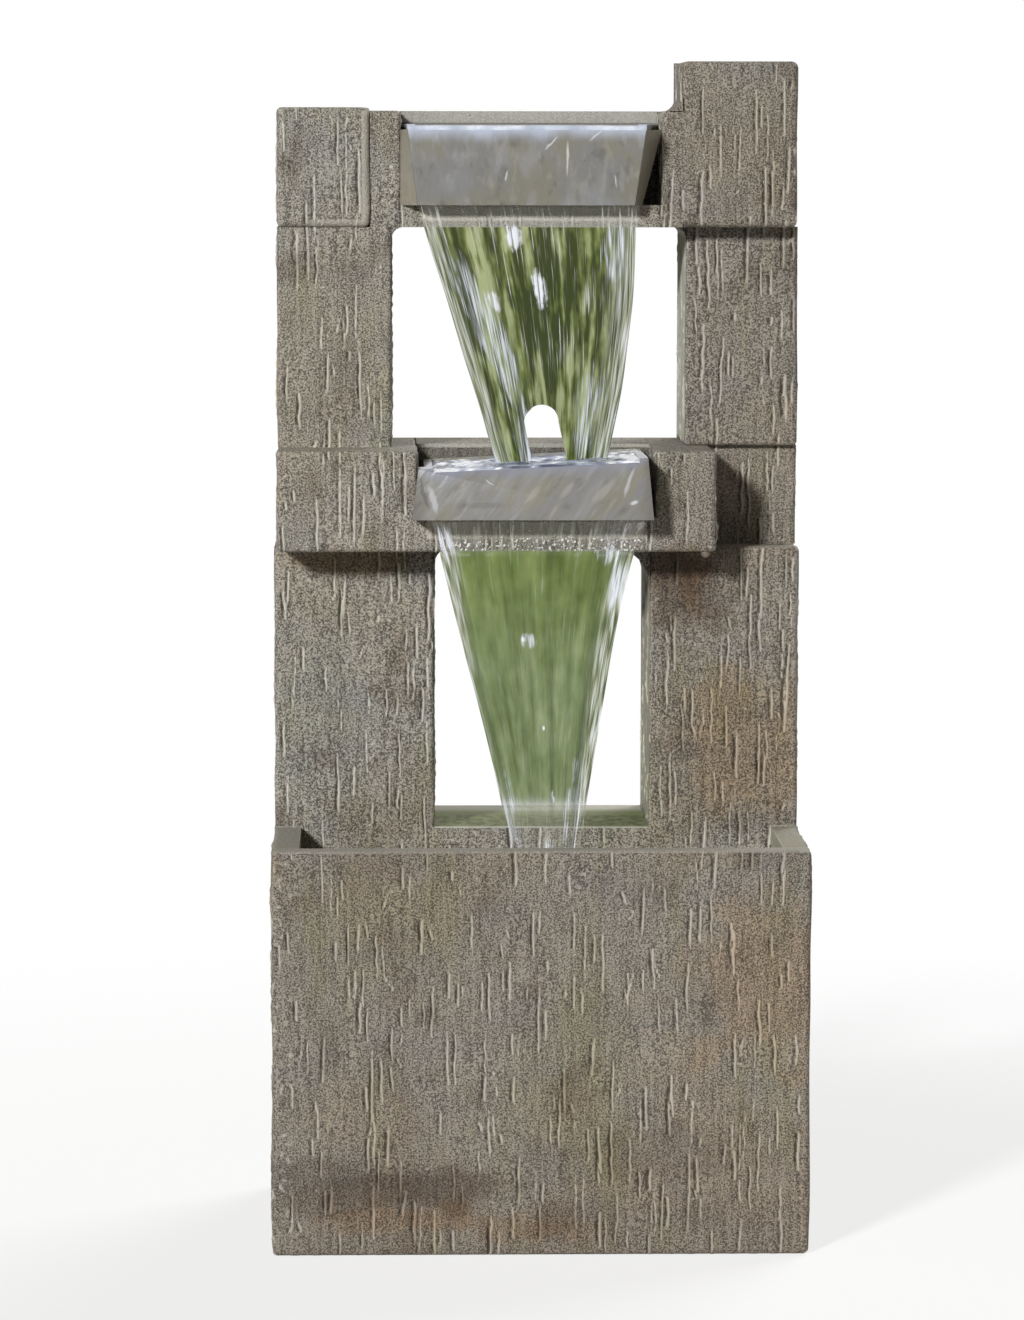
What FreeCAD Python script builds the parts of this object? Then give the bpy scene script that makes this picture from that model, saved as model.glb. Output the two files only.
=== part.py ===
import FreeCAD, Part
import os
import re
import Sketcher

# Tiered column fountain: a deep basin, a tower of stacked cast blocks round two windows, two spill trays,
# and a pump that lifts the water through the left column. Millimetres, +Z up, -Y to the front, and the
# origin under the middle of the basin.

doc = FreeCAD.newDocument("tiered_fountain")
sheet = doc.addObject("Spreadsheet::Sheet", "Sizes")

# Driving sizes
SIZES = [
    ("base_width", 395, "basin, left to right"),
    ("base_depth", 260, "basin, front to back"),
    ("base_height", 300, "basin, floor to rim"),
    ("side_wall", 20, "side walls of the basin"),
    ("front_wall", 18, "front wall of the basin"),
    ("rear_wall", 14, "rear wall of the basin"),
    ("floor_wall", 16, "floor of the basin"),
    ("deck_wall", 14, "deck that the tower stands on"),
    ("trough_length", 114, "open water, front to back"),
    ("apron_wall", 14, "wall between the open water and the pump chamber"),
    ("apron_drop", 190, "how far that wall hangs below the rim"),
    ("edge_ease", 2.5, "bevel along the edges of the castings"),
    ("side_inset", 0.5, "lower tower in from the basin's sides"),
    ("upper_inset", 3, "upper tower in from the basin's sides"),
    ("lower_height", 212, "lower posts"),
    ("lower_left_width", 120, "left lower post"),
    ("lower_window_width", 162, "lower window"),
    ("beam_height", 75, "crossbeam"),
    ("beam_length", 326, "crossbeam, left to right"),
    ("beam_reach", 47, "crossbeam forward of the lower posts"),
    ("beam_notch_start", 104.5, "tray notch from the beam's left end"),
    ("beam_notch_width", 177, "tray notch in the beam"),
    ("beam_notch_floor", 26, "beam left under its notch"),
    ("beam_notch_length", 95, "tray notch, front to back"),
    ("setback", 33, "setback block behind the lower posts"),
    ("upper_height", 164.5, "upper posts"),
    ("left_upper_width", 85.5, "left upper post"),
    ("upper_window_width", 221, "upper window"),
    ("right_upper_setback", 25, "right upper post behind the lower posts"),
    ("lintel_setback", 3, "lintel and left upper post behind the lower posts"),
    ("lintel_height", 86.5, "lintel"),
    ("lintel_notch_start", 23, "tray notch from the lintel's left end"),
    ("lintel_notch_width", 195, "tray notch in the lintel"),
    ("lintel_cheek", 15.5, "lintel to the right of its notch"),
    ("lintel_notch_floor", 16.5, "lintel left under its notch"),
    ("elbow_room", 9, "from the flange behind the lintel's notch to the hose"),
    ("left_cap_width", 69.5, "left cap block"),
    ("left_cap_height", 89, "left cap block"),
    ("left_cap_reach", 4, "left cap block forward of the lintel"),
    ("right_cap_height", 123.5, "right cap block"),
    ("cap_foot", 10, "hollow curve at the foot of the right cap block"),
    ("cast_face", 12, "front wall of the hollow castings"),
    ("cast_side", 10, "side walls of the hollow castings"),
    ("cast_end", 16, "top and bottom walls of the hollow castings"),
    ("panel_thickness", 8, "rear panel"),
    ("tray_wall", 6, "walls of the trays"),
    ("tray_floor", 7, "floors of the trays"),
    ("tray_fit", 0.5, "trays in their notches, each side"),
    ("lip_drop", 3, "front lip below the other walls of a tray"),
    ("upper_tray_height", 60, "upper tray"),
    ("upper_lip_reach", 33, "upper tray's lip forward of the lintel"),
    ("upper_foot_reach", 19, "upper tray's foot forward of the lintel"),
    ("lip_inset_left", 4.5, "left end of the upper lip in from the notch"),
    ("lip_inset_right", 13, "right end of the upper lip in from the notch"),
    ("lip_taper", 8, "front of the upper tray narrows to its foot, each side"),
    ("cheek_taper", 11, "back of the upper tray narrows to its foot, each side"),
    ("lower_tray_height", 42, "lower tray"),
    ("lower_lip_reach", 30, "lower tray forward of the beam"),
    ("spill_wing_left", 4, "lower tray's front past the notch on the left"),
    ("spill_wing_right", 3, "lower tray's front short of the notch on the right"),
    ("sheet_thickness", 2.5, "falling water where it leaves a tray"),
    ("stream_thickness", 5, "falling water where it lands"),
    ("upper_fall_left", 54, "upper fall draws in on the left"),
    ("upper_fall_right", 22, "upper fall draws in on the right"),
    ("upper_fall_gap", 13, "radius of the gap between the two upper streams"),
    ("upper_fall_split", 30, "height of that gap to the middle of its round top"),
    ("fall_inset_left", 15, "lower fall in from the tray's left end"),
    ("fall_inset_right", 6, "lower fall in from the tray's right end"),
    ("lower_fall_left", 60, "lower fall draws in on the left by the rim"),
    ("lower_fall_right", 49, "lower fall draws in on the right by the rim"),
    ("water_level", 140, "water in the basin"),
    ("hose_inset", 21, "hose in from the upper window's left side"),
    ("hose_standoff", 26, "hose in front of the rear panel"),
    ("hose_radius", 8, "outside of the hose"),
    ("hose_wall", 1.9, "wall of the hose"),
    ("hose_bend", 40, "bend at the top of the hose"),
    ("hose_reach", 45, "from that bend to the elbow"),
    ("hose_way", 11, "radius of the ways through the castings"),
    ("elbow_rise", 32, "elbow above the floor of the lintel's notch"),
    ("elbow_bore", 4, "water way in the elbow and the pump outlet"),
    ("elbow_flange", 13, "radius of the elbow's flange"),
    ("nut_radius", 11, "inlet nut across its corners"),
    ("spigot_gap", 0.1, "hose over its spigots"),
    ("thread_gap", 0.3, "threaded ends and pins in their holes"),
    ("screw_radius", 2.2, "panel and hatch screws"),
    ("screw_head", 4.3, "heads of those screws"),
    ("screw_head_height", 3, "heads of those screws"),
    ("screw_grip", 18, "panel screws in the castings"),
    ("dowel_radius", 4, "locating dowels"),
    ("dowel_depth", 9, "dowels in each casting"),
    ("bolt_radius", 3, "tower bolts"),
    ("bolt_head", 5.5, "heads of the tower bolts"),
    ("bolt_head_height", 4, "heads of the tower bolts"),
    ("bolt_grip", 12, "tower bolts in the posts"),
    ("clamp_width", 8, "hose clamps"),
    ("clamp_wall", 1.2, "hose clamps"),
    ("clip_height", 12, "hose clips"),
    ("hatch_width", 150, "opening in the basin's back"),
    ("hatch_height", 100, "opening in the basin's back"),
    ("hatch_drop", 11, "rebate of the opening below the deck"),
    ("hatch_shift", 45, "opening to the right of the hose"),
    ("hatch_margin", 10, "rebate round the opening"),
    ("hatch_flange", 6.5, "flange of the hatch"),
    ("hatch_fit", 0.5, "hatch in its opening and rebate"),
    ("gasket_thickness", 1.5, "hatch gasket"),
    ("finger_hole", 9, "finger hole in the hatch"),
    ("gland_offset", 90, "cable gland right of the middle"),
    ("gland_height", 235, "cable gland above the ground"),
    ("gland_radius", 9.8, "cable gland in the wall"),
    ("gland_bore", 3.6, "cable way in the gland"),
    ("gland_flange", 3, "thickness of the gland's flanges"),
    ("drain_offset", 37.5, "drain in from the basin's right inside"),
    ("drain_height", 33, "drain above the ground"),
    ("drain_radius", 8.8, "drain plug"),
    ("drain_head", 14.2, "head of the drain plug"),
    ("drain_head_height", 5.5, "head of the drain plug"),
    ("slide_gap", 0.3, "pieces that lift out of their seats"),
    ("pump_size", 46, "pump, square across its axis"),
    ("pump_foot_height", 8, "suction feet"),
    ("motor_length", 36, "pump motor"),
    ("volute_length", 16, "pump volute"),
    ("volute_radius", 16, "impeller chamber"),
    ("volute_face", 4, "inlet wall of the volute"),
    ("outlet_offset", 8, "pump outlet behind the pump's axis"),
    ("outlet_length", 28, "pump outlet spigot"),
    ("rotor_well", 10.4, "radius of the rotor's well"),
    ("rotor_length", 20, "rotor magnet"),
    ("rotor_gap", 0.8, "rotor in its well"),
    ("shaft_radius", 1.5, "pump shaft"),
    ("running_gap", 0.05, "impeller on its shaft, knob in its seat"),
    ("sleeve_radius", 4, "impeller sleeve inside the magnet"),
    ("impeller_radius", 13.5, "impeller"),
    ("impeller_gap", 1, "impeller from the chamber's walls"),
    ("blade_thickness", 1.6, "impeller blades"),
    ("seal_radius", 20, "outside of the pump seal"),
    ("seal_section", 2, "pump seal"),
    ("strainer_length", 16, "strainer"),
    ("strainer_wall", 2, "strainer"),
    ("strainer_seat", 4, "rim of the volute inside the strainer"),
    ("knob_radius", 7, "flow knob"),
    ("knob_height", 6, "flow knob"),
    ("knob_stem", 2.5, "stem of the flow knob"),
]
for row, (alias, value, meaning) in enumerate(SIZES, start=1):
    sheet.set(f"A{row}", meaning)
    sheet.set(f"B{row}", str(value))
    sheet.setAlias(f"B{row}", alias)
doc.recompute()
ALIASES = {alias for alias, _, _ in SIZES}

# Places that follow from the driving sizes
DERIVED = {
    "half_width": "base_width / 2",
    "basin_front": "-base_depth / 2",
    "basin_back": "base_depth / 2",
    "inner_side": "half_width - side_wall",
    "trough_front": "basin_front + front_wall",
    "tower_front": "trough_front + trough_length",
    "chamber_back": "basin_back - rear_wall",
    "deck_under": "base_height - deck_wall",
    "apron_foot": "base_height - apron_drop",
    "block_back": "basin_back - panel_thickness",
    "tower_left": "side_inset - half_width",
    "tower_right": "half_width - side_inset",
    "upper_left": "upper_inset - half_width",
    "upper_right": "half_width - upper_inset",
    "lower_top": "base_height + lower_height",
    "low_window_left": "tower_left + lower_left_width",
    "low_window_right": "low_window_left + lower_window_width",
    "beam_top": "lower_top + beam_height",
    "beam_front": "tower_front - beam_reach",
    "beam_right": "upper_left + beam_length",
    "beam_notch_left": "upper_left + beam_notch_start",
    "beam_notch_right": "beam_notch_left + beam_notch_width",
    "beam_notch_foot": "lower_top + beam_notch_floor",
    "beam_notch_back": "beam_front + beam_notch_length",
    "setback_front": "tower_front + setback",
    "upper_top": "beam_top + upper_height",
    "lintel_front": "tower_front + lintel_setback",
    "up_window_left": "upper_left + left_upper_width",
    "up_window_right": "up_window_left + upper_window_width",
    "right_upper_front": "tower_front + right_upper_setback",
    "lintel_left": "upper_left + left_cap_width",
    "lintel_top": "upper_top + lintel_height",
    "lintel_notch_left": "lintel_left + lintel_notch_start",
    "lintel_notch_right": "lintel_notch_left + lintel_notch_width",
    "lintel_right": "lintel_notch_right + lintel_cheek",
    "lintel_notch_foot": "upper_top + lintel_notch_floor",
    "lintel_notch_back": "hose_y - hose_radius - elbow_room - gland_flange - cast_side",
    "left_cap_front": "lintel_front - left_cap_reach",
    "left_cap_top": "upper_top + left_cap_height",
    "right_cap_top": "upper_top + right_cap_height",
    "upper_tray_top": "lintel_notch_foot + upper_tray_height",
    "upper_tray_back": "lintel_notch_back - gasket_thickness",
    "upper_lip": "lintel_front - upper_lip_reach",
    "upper_foot": "lintel_front - upper_foot_reach",
    "lower_tray_top": "beam_notch_foot + lower_tray_height",
    "lower_lip": "beam_front - lower_lip_reach",
    "hose_x": "up_window_left - hose_inset",
    "hose_y": "block_back - hose_standoff",
    "elbow_x": "hose_x + hose_bend + hose_reach",
    "elbow_z": "lintel_notch_foot + elbow_rise",
    "spigot_radius": "hose_radius - hose_wall - spigot_gap",
    "clamp_radius": "hose_radius + spigot_gap",
    "screw_hole": "screw_radius + thread_gap",
    "head_hole": "screw_head + thread_gap",
    "hatch_x": "hose_x + hatch_shift",
    "hatch_left": "hatch_x - hatch_width / 2",
    "hatch_right": "hatch_x + hatch_width / 2",
    "hatch_top": "deck_under - hatch_drop - hatch_margin",
    "hatch_foot": "hatch_top - hatch_height",
    "drain_x": "inner_side - drain_offset",
    "rebate_floor": "basin_back - hatch_flange - gasket_thickness",
    "pump_y": "hose_y - outlet_offset",
    "pump_foot": "floor_wall + pump_foot_height",
    "pump_top": "pump_foot + pump_size",
    "pump_z": "pump_foot + pump_size / 2",
    "pump_front": "pump_y - pump_size / 2",
    "pump_rear": "pump_y + pump_size / 2",
    "volute_left": "hose_x - volute_length / 2",
    "volute_right": "hose_x + volute_length / 2",
    "motor_left": "volute_left - motor_length",
    "well_foot": "volute_left - rotor_length - 3 * impeller_gap",
    "bush_foot": "well_foot - sleeve_radius",
    "chamber_face": "volute_right - volute_face",
    "bush_end": "volute_right - volute_face / 4",
}
PIECES = []


def spelled(text):
    """Spell a length out in cells of the sheet."""

    def cell(match):
        word = match.group(0)
        if word in ALIASES:
            return "Sizes." + word
        return "(" + spelled(DERIVED[word]) + ")"

    return re.sub(r"[a-z_]+", cell, str(text))


def measured(text):
    """Work a length out from the sheet as it stands."""
    return float(sheet.evalExpression(spelled(text)))


def bind(thing, **sizes):
    """Tie the sizes of a feature to the sheet."""
    for prop, text in sizes.items():
        thing.setExpression(prop, spelled(text))


def place(thing, x, y, z, along="z"):
    """Put a feature at a point, with its own z along one of the axes."""
    turns = {
        "x": FreeCAD.Rotation(FreeCAD.Vector(0, 1, 0), 90),
        "y": FreeCAD.Rotation(FreeCAD.Vector(1, 0, 0), -90),
        "z": FreeCAD.Rotation(),
    }
    thing.Placement = FreeCAD.Placement(FreeCAD.Vector(0, 0, 0), turns[along])
    for axis, text in zip("xyz", (x, y, z)):
        thing.setExpression("Placement.Base." + axis, spelled(text))


def piece(label):
    """Start one physical piece as a body of its own."""
    body = doc.addObject("PartDesign::Body", label)
    body.Label = label
    PIECES.append(body)
    return body


def block(body, name, x, y, z, cut=False):
    """Add or cut a box between a low and a high limit on each axis."""
    kind = "SubtractiveBox" if cut else "AdditiveBox"
    made = body.newObject("PartDesign::" + kind, name)
    spans = [f"{high} - ({low})" for low, high in (x, y, z)]
    bind(made, Length=spans[0], Width=spans[1], Height=spans[2])
    place(made, x[0], y[0], z[0])
    return made


def round_place(thing, along, at, span, radius):
    """Lay a cylinder along an axis, through a point of the plane across it."""
    where = {axis: text for axis, text in zip("xyz".replace(along, ""), at)}
    where[along] = span[0]
    bind(thing, Radius=radius, Height=f"{span[1]} - ({span[0]})")
    place(thing, where["x"], where["y"], where["z"], along)
    return thing


def rod(body, name, along, at, span, radius, cut=False):
    """Add or cut a cylinder in a body."""
    kind = "SubtractiveCylinder" if cut else "AdditiveCylinder"
    return round_place(body.newObject("PartDesign::" + kind, name), along, at, span, radius)


def pin(name, along, at, span, radius):
    """Make a cylinder for a group of fasteners."""
    return round_place(doc.addObject("Part::Cylinder", name), along, at, span, radius)


def joined(name, members):
    """Join the shapes of one fastener."""
    made = doc.addObject("Part::MultiFuse", name)
    made.Shapes = members
    return made


def group(label, members):
    """Gather identical pieces under one name."""
    made = doc.addObject("Part::Compound", label)
    made.Label = label
    made.Links = members
    PIECES.append(made)
    return made


def tie(drawn, kind, text, *ends):
    """Tie a distance or a radius in a sketch to the sheet."""
    index = drawn.addConstraint(Sketcher.Constraint(kind, *ends, measured(text)))
    drawn.setExpression(f"Constraints[{index}]", spelled(text))


def outline(body, name, height, corners):
    """Draw a closed outline of straight sides, level, at a height."""
    drawn = body.newObject("Sketcher::SketchObject", name)
    level = next(item for item in body.Origin.OriginFeatures if item.Role == "XY_Plane")
    drawn.AttachmentSupport = (level, [""])
    drawn.MapMode = "FlatFace"
    drawn.setExpression("AttachmentOffset.Base.z", spelled(height))
    points = [FreeCAD.Vector(measured(x), measured(y), 0) for x, y in corners]
    for start, end in zip(points, points[1:] + points[:1]):
        drawn.addGeometry(Part.LineSegment(start, end), False)
    for side, (x, y) in enumerate(corners):
        drawn.addConstraint(Sketcher.Constraint("Coincident", side, 2, (side + 1) % len(corners), 1))
        tie(drawn, "DistanceX", x, side, 1)
        tie(drawn, "DistanceY", y, side, 1)
    return drawn


def ring_corners(x, y):
    """List the corners of a rectangle between limits."""
    return [(x[0], y[0]), (x[1], y[0]), (x[1], y[1]), (x[0], y[1])]


def lofted(body, name, sections, ruled=True, cut=False):
    """Run a solid, or a hollow, through a row of outlines."""
    made = body.newObject("PartDesign::" + ("SubtractiveLoft" if cut else "AdditiveLoft"), name)
    made.Profile = sections[0]
    made.Sections = sections[1:]
    made.Ruled = ruled
    return made


def eased(body, base, size):
    """Bevel every edge of a plain block."""
    made = body.newObject("PartDesign::Chamfer", "eased")
    made.Base = (base, [""])
    made.UseAllEdges = True
    bind(made, Size=size)
    return made


def casting(label, x, y, z):
    """Start a cast block with eased edges."""
    body = piece(label)
    drawn = outline(body, "plan", z[0], ring_corners(x, y))
    pad = body.newObject("PartDesign::Pad", "cast")
    pad.Profile = drawn
    bind(pad, Length=f"{z[1]} - ({z[0]})")
    eased(body, pad, "edge_ease")
    return body


def hollow_casting(label, x, y, z):
    """Make a cast block that is hollow and open at the back."""
    body = casting(label, x, y, z)
    block(
        body,
        "hollow",
        (f"{x[0]} + cast_side", f"{x[1]} - cast_side"),
        (f"{y[0]} + cast_face", f"{y[1]} + edge_ease"),
        (f"{z[0]} + cast_end", f"{z[1]} - cast_end"),
        cut=True,
    )
    return body


def hose_passage(body, low, high):
    """Open a way for the hose through the ends of a casting."""
    rod(body, "hose_way", "z", ("hose_x", "hose_y"), (low, high), "hose_way", cut=True)


# Basin, an open tub with its rear part lower by the deck
BASIN_SIDES = ("-half_width", "half_width")
basin = casting("basin", BASIN_SIDES, ("basin_front", "basin_back"), ("0", "base_height"))
block(
    basin,
    "tub",
    ("-inner_side", "inner_side"),
    ("trough_front", "chamber_back"),
    ("floor_wall", "base_height + 1"),
    cut=True,
)
block(
    basin,
    "deck_seat",
    ("-half_width - 1", "half_width + 1"),
    ("tower_front", "basin_back + 1"),
    ("deck_under", "base_height + 1"),
    cut=True,
)
block(
    basin,
    "hatch_opening",
    ("hatch_left", "hatch_right"),
    ("chamber_back - 1", "basin_back + 1"),
    ("hatch_foot", "hatch_top"),
    cut=True,
)
block(
    basin,
    "hatch_rebate",
    ("hatch_left - hatch_margin", "hatch_right + hatch_margin"),
    ("rebate_floor", "basin_back + 1"),
    ("hatch_foot - hatch_margin", "hatch_top + hatch_margin"),
    cut=True,
)
GLAND = ("gland_offset", "gland_height")
DRAIN = ("drain_x", "drain_height")
WALL_SPAN = ("chamber_back - 1", "basin_back + 1")
rod(basin, "gland_hole", "y", GLAND, WALL_SPAN, "gland_radius + thread_gap", cut=True)
rod(
    basin,
    "gland_recess",
    "y",
    GLAND,
    ("basin_back - gland_flange", "basin_back + 1"),
    "gland_radius + gland_flange + thread_gap",
    cut=True,
)
rod(basin, "drain_hole", "y", DRAIN, WALL_SPAN, "drain_radius + slide_gap", cut=True)
rod(
    basin,
    "drain_recess",
    "y",
    DRAIN,
    ("basin_back - drain_head_height", "basin_back + 1"),
    "drain_head + slide_gap",
    cut=True,
)

# Tower deck over the pump chamber, with an apron that hangs into the water in front of the pump
tower_deck = casting("tower_deck", BASIN_SIDES, ("tower_front", "basin_back"), ("deck_under", "base_height"))
block(
    tower_deck,
    "apron",
    ("-inner_side + slide_gap", "inner_side - slide_gap"),
    ("tower_front", "tower_front + apron_wall"),
    ("apron_foot", "deck_under + edge_ease"),
)
hose_passage(tower_deck, "deck_under - 1", "base_height + 1")

# Lower tier
left_lower_post = hollow_casting(
    "left_lower_post",
    ("tower_left", "low_window_left"),
    ("tower_front", "block_back"),
    ("base_height", "lower_top"),
)
hose_passage(left_lower_post, "base_height - 1", "lower_top + 1")
right_lower_post = hollow_casting(
    "right_lower_post",
    ("low_window_right", "tower_right"),
    ("tower_front", "block_back"),
    ("base_height", "lower_top"),
)

# Crossbeam, hollow at its left end and behind its tray notch
crossbeam = casting(
    "crossbeam",
    ("upper_left", "beam_right"),
    ("beam_front", "block_back"),
    ("lower_top", "beam_top"),
)
BEAM_HOLLOW = ("lower_top + cast_end", "beam_top - cast_end")
block(
    crossbeam,
    "rear_hollow",
    ("upper_left + cast_side", "beam_right - cast_side"),
    ("beam_notch_back + cast_side", "block_back + 1"),
    BEAM_HOLLOW,
    cut=True,
)
block(
    crossbeam,
    "left_hollow",
    ("upper_left + cast_side", "beam_notch_left - cast_side"),
    ("beam_front + cast_face", "beam_notch_back + cast_face"),
    BEAM_HOLLOW,
    cut=True,
)
block(
    crossbeam,
    "notch",
    ("beam_notch_left", "beam_notch_right"),
    ("beam_front - 1", "beam_notch_back"),
    ("beam_notch_foot", "beam_top + 1"),
    cut=True,
)
hose_passage(crossbeam, "lower_top - 1", "beam_top + 1")
right_setback_block = hollow_casting(
    "right_setback_block",
    ("beam_right", "tower_right"),
    ("setback_front", "block_back"),
    ("lower_top", "beam_top"),
)

# Upper tier
left_upper_post = hollow_casting(
    "left_upper_post",
    ("upper_left", "up_window_left"),
    ("lintel_front", "block_back"),
    ("beam_top", "upper_top"),
)
hose_passage(left_upper_post, "beam_top - 1", "upper_top + 1")
right_upper_post = hollow_casting(
    "right_upper_post",
    ("up_window_right", "tower_right"),
    ("right_upper_front", "block_back"),
    ("beam_top", "upper_top"),
)

# Lintel, notched for the upper tray and hollow behind the notch
lintel = casting(
    "lintel",
    ("lintel_left", "lintel_right"),
    ("lintel_front", "block_back"),
    ("upper_top", "lintel_top"),
)
block(
    lintel,
    "notch",
    ("lintel_notch_left", "lintel_notch_right"),
    ("lintel_front - 1", "lintel_notch_back"),
    ("lintel_notch_foot", "lintel_top + 1"),
    cut=True,
)
block(
    lintel,
    "rear_hollow",
    ("lintel_left - 1", "lintel_right - cast_side"),
    ("lintel_notch_back + cast_side", "block_back + 1"),
    ("upper_top + cast_face", "lintel_top - cast_face"),
    cut=True,
)
hose_passage(lintel, "upper_top - 1", "upper_top + cast_face + 1")
INLET = ("elbow_x", "elbow_z")
rod(
    lintel,
    "inlet_hole",
    "y",
    INLET,
    ("lintel_notch_back - 1", "lintel_notch_back + cast_side + 1"),
    "spigot_radius + thread_gap",
    cut=True,
)

# Cap blocks; the left one is open towards the lintel, where the hose turns
left_cap_block = casting(
    "left_cap_block",
    ("upper_left", "lintel_left"),
    ("left_cap_front", "block_back"),
    ("upper_top", "left_cap_top"),
)
block(
    left_cap_block,
    "hollow",
    ("upper_left + cast_side", "lintel_left + 1"),
    ("left_cap_front + cast_face", "block_back + 1"),
    ("upper_top + cast_end", "left_cap_top - cast_face"),
    cut=True,
)
hose_passage(left_cap_block, "upper_top - 1", "upper_top + cast_end + 1")
right_cap_block = hollow_casting(
    "right_cap_block",
    ("lintel_right", "upper_right"),
    ("lintel_front", "block_back"),
    ("upper_top", "right_cap_top"),
)
block(
    right_cap_block,
    "foot",
    ("lintel_right - cap_foot", "lintel_right + cast_side"),
    ("lintel_front + edge_ease", "block_back"),
    ("lintel_top", "lintel_top + cap_foot"),
)
rod(
    right_cap_block,
    "foot_curve",
    "y",
    ("lintel_right - cap_foot", "lintel_top + cap_foot"),
    ("lintel_front", "block_back + 1"),
    "cap_foot",
    cut=True,
)

# Rear panel, cut to the windows and to the stepped top
rear_panel = piece("rear_panel")
PANEL_SPAN = ("block_back", "basin_back")
CUT_SPAN = ("block_back - 1", "basin_back + 1")
block(rear_panel, "panel", ("upper_left", "upper_right"), PANEL_SPAN, ("base_height", "right_cap_top"))
PANEL_CUTS = [
    ("lower_window", ("low_window_left", "low_window_right"), ("base_height - 1", "lower_top")),
    ("upper_window", ("up_window_left", "up_window_right"), ("beam_top", "upper_top")),
    ("left_step", ("upper_left - 1", "lintel_left"), ("left_cap_top", "right_cap_top + 1")),
    ("lintel_step", ("lintel_left - 1", "lintel_right"), ("lintel_top", "right_cap_top + 1")),
]
for name, x, z in PANEL_CUTS:
    block(rear_panel, name, x, CUT_SPAN, z, cut=True)

# Panel screws, two or more for each casting
LEFT_LOW = "(tower_left + low_window_left) / 2"
RIGHT_LOW = "(low_window_right + tower_right) / 2"
LEFT_UP = "(upper_left + up_window_left) / 2 - cast_side"
RIGHT_UP = "(up_window_right + upper_right) / 2"
SETBACK_MIDDLE = "(beam_right + tower_right) / 2"
BEAM_MIDDLE = "(beam_notch_left + beam_notch_right) / 2"
LEFT_CAP = "(upper_left + lintel_left) / 2"
SCREWS = [
    (left_lower_post, LEFT_LOW, "base_height + cast_end / 2"),
    (left_lower_post, LEFT_LOW, "lower_top - cast_end / 2"),
    (right_lower_post, RIGHT_LOW, "base_height + cast_end / 2"),
    (right_lower_post, RIGHT_LOW, "lower_top - cast_end / 2"),
    (crossbeam, LEFT_LOW, "beam_top - cast_end / 2"),
    (crossbeam, BEAM_MIDDLE, "lower_top + cast_end / 2"),
    (crossbeam, BEAM_MIDDLE, "beam_top - cast_end / 2"),
    (right_setback_block, SETBACK_MIDDLE, "lower_top + cast_end / 2"),
    (right_setback_block, SETBACK_MIDDLE, "beam_top - cast_end / 2"),
    (left_upper_post, LEFT_UP, "beam_top + cast_end / 2"),
    (left_upper_post, LEFT_UP, "upper_top - cast_end / 2"),
    (right_upper_post, RIGHT_UP, "beam_top + cast_end / 2"),
    (right_upper_post, RIGHT_UP, "upper_top - cast_end / 2"),
    (lintel, BEAM_MIDDLE, "upper_top + cast_face / 2"),
    (lintel, "lintel_notch_left", "lintel_top - cast_face / 2"),
    (lintel, "lintel_notch_right", "lintel_top - cast_face / 2"),
    (left_cap_block, LEFT_CAP, "upper_top + cast_end / 2"),
    (left_cap_block, LEFT_CAP, "left_cap_top - cast_face / 2"),
    (right_cap_block, RIGHT_UP, "upper_top + cast_end / 2"),
    (right_cap_block, RIGHT_UP, "right_cap_top - cast_end / 2"),
]
HEAD_SPAN = ("basin_back - screw_head_height", "basin_back")
HEAD_RECESS = ("basin_back - screw_head_height", "basin_back + 1")
PILOT_SPAN = ("block_back - screw_grip - 1", "block_back + 1")
panel_screws = []
for held, x, z in SCREWS:
    at = (x, z)
    rod(held, "screw_pilot", "y", at, PILOT_SPAN, "screw_hole", cut=True)
    rod(rear_panel, "screw_hole", "y", at, CUT_SPAN, "screw_hole", cut=True)
    rod(rear_panel, "head_recess", "y", at, HEAD_RECESS, "head_hole", cut=True)
    shank = pin("shank", "y", at, ("block_back - screw_grip", "basin_back"), "screw_radius")
    head = pin("head", "y", at, HEAD_SPAN, "screw_head")
    panel_screws.append(joined("panel_screw", [shank, head]))
group("panel_screws", panel_screws)

# Locating dowels between one casting and the next
FRONT_ROW = "tower_front + cast_end"
DEEP_ROW = "right_upper_front + cast_end"
DOWELS = [
    (left_lower_post, crossbeam, "upper_left + cast_end", FRONT_ROW, "lower_top"),
    (left_lower_post, crossbeam, "low_window_left - cast_end", FRONT_ROW, "lower_top"),
    (right_lower_post, crossbeam, "low_window_right + cast_end", FRONT_ROW, "lower_top"),
    (right_lower_post, right_setback_block, SETBACK_MIDDLE, "setback_front + cast_end", "lower_top"),
    (crossbeam, left_upper_post, "upper_left + cast_end", FRONT_ROW, "beam_top"),
    (right_setback_block, right_upper_post, SETBACK_MIDDLE, "setback_front + cast_end", "beam_top"),
    (left_upper_post, left_cap_block, "upper_left + cast_end", FRONT_ROW, "upper_top"),
    (right_upper_post, right_cap_block, RIGHT_UP, DEEP_ROW, "upper_top"),
]
dowels = []
for below, above, x, y, z in DOWELS:
    span = (f"{z} - dowel_depth", f"{z} + dowel_depth")
    hole = (f"{z} - dowel_depth", f"{z} + dowel_depth + thread_gap")
    for held in (below, above):
        rod(held, "dowel_hole", "z", (x, y), hole, "dowel_radius + thread_gap", cut=True)
    dowels.append(pin("dowel", "z", (x, y), span, "dowel_radius"))
group("locating_dowels", dowels)

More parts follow.
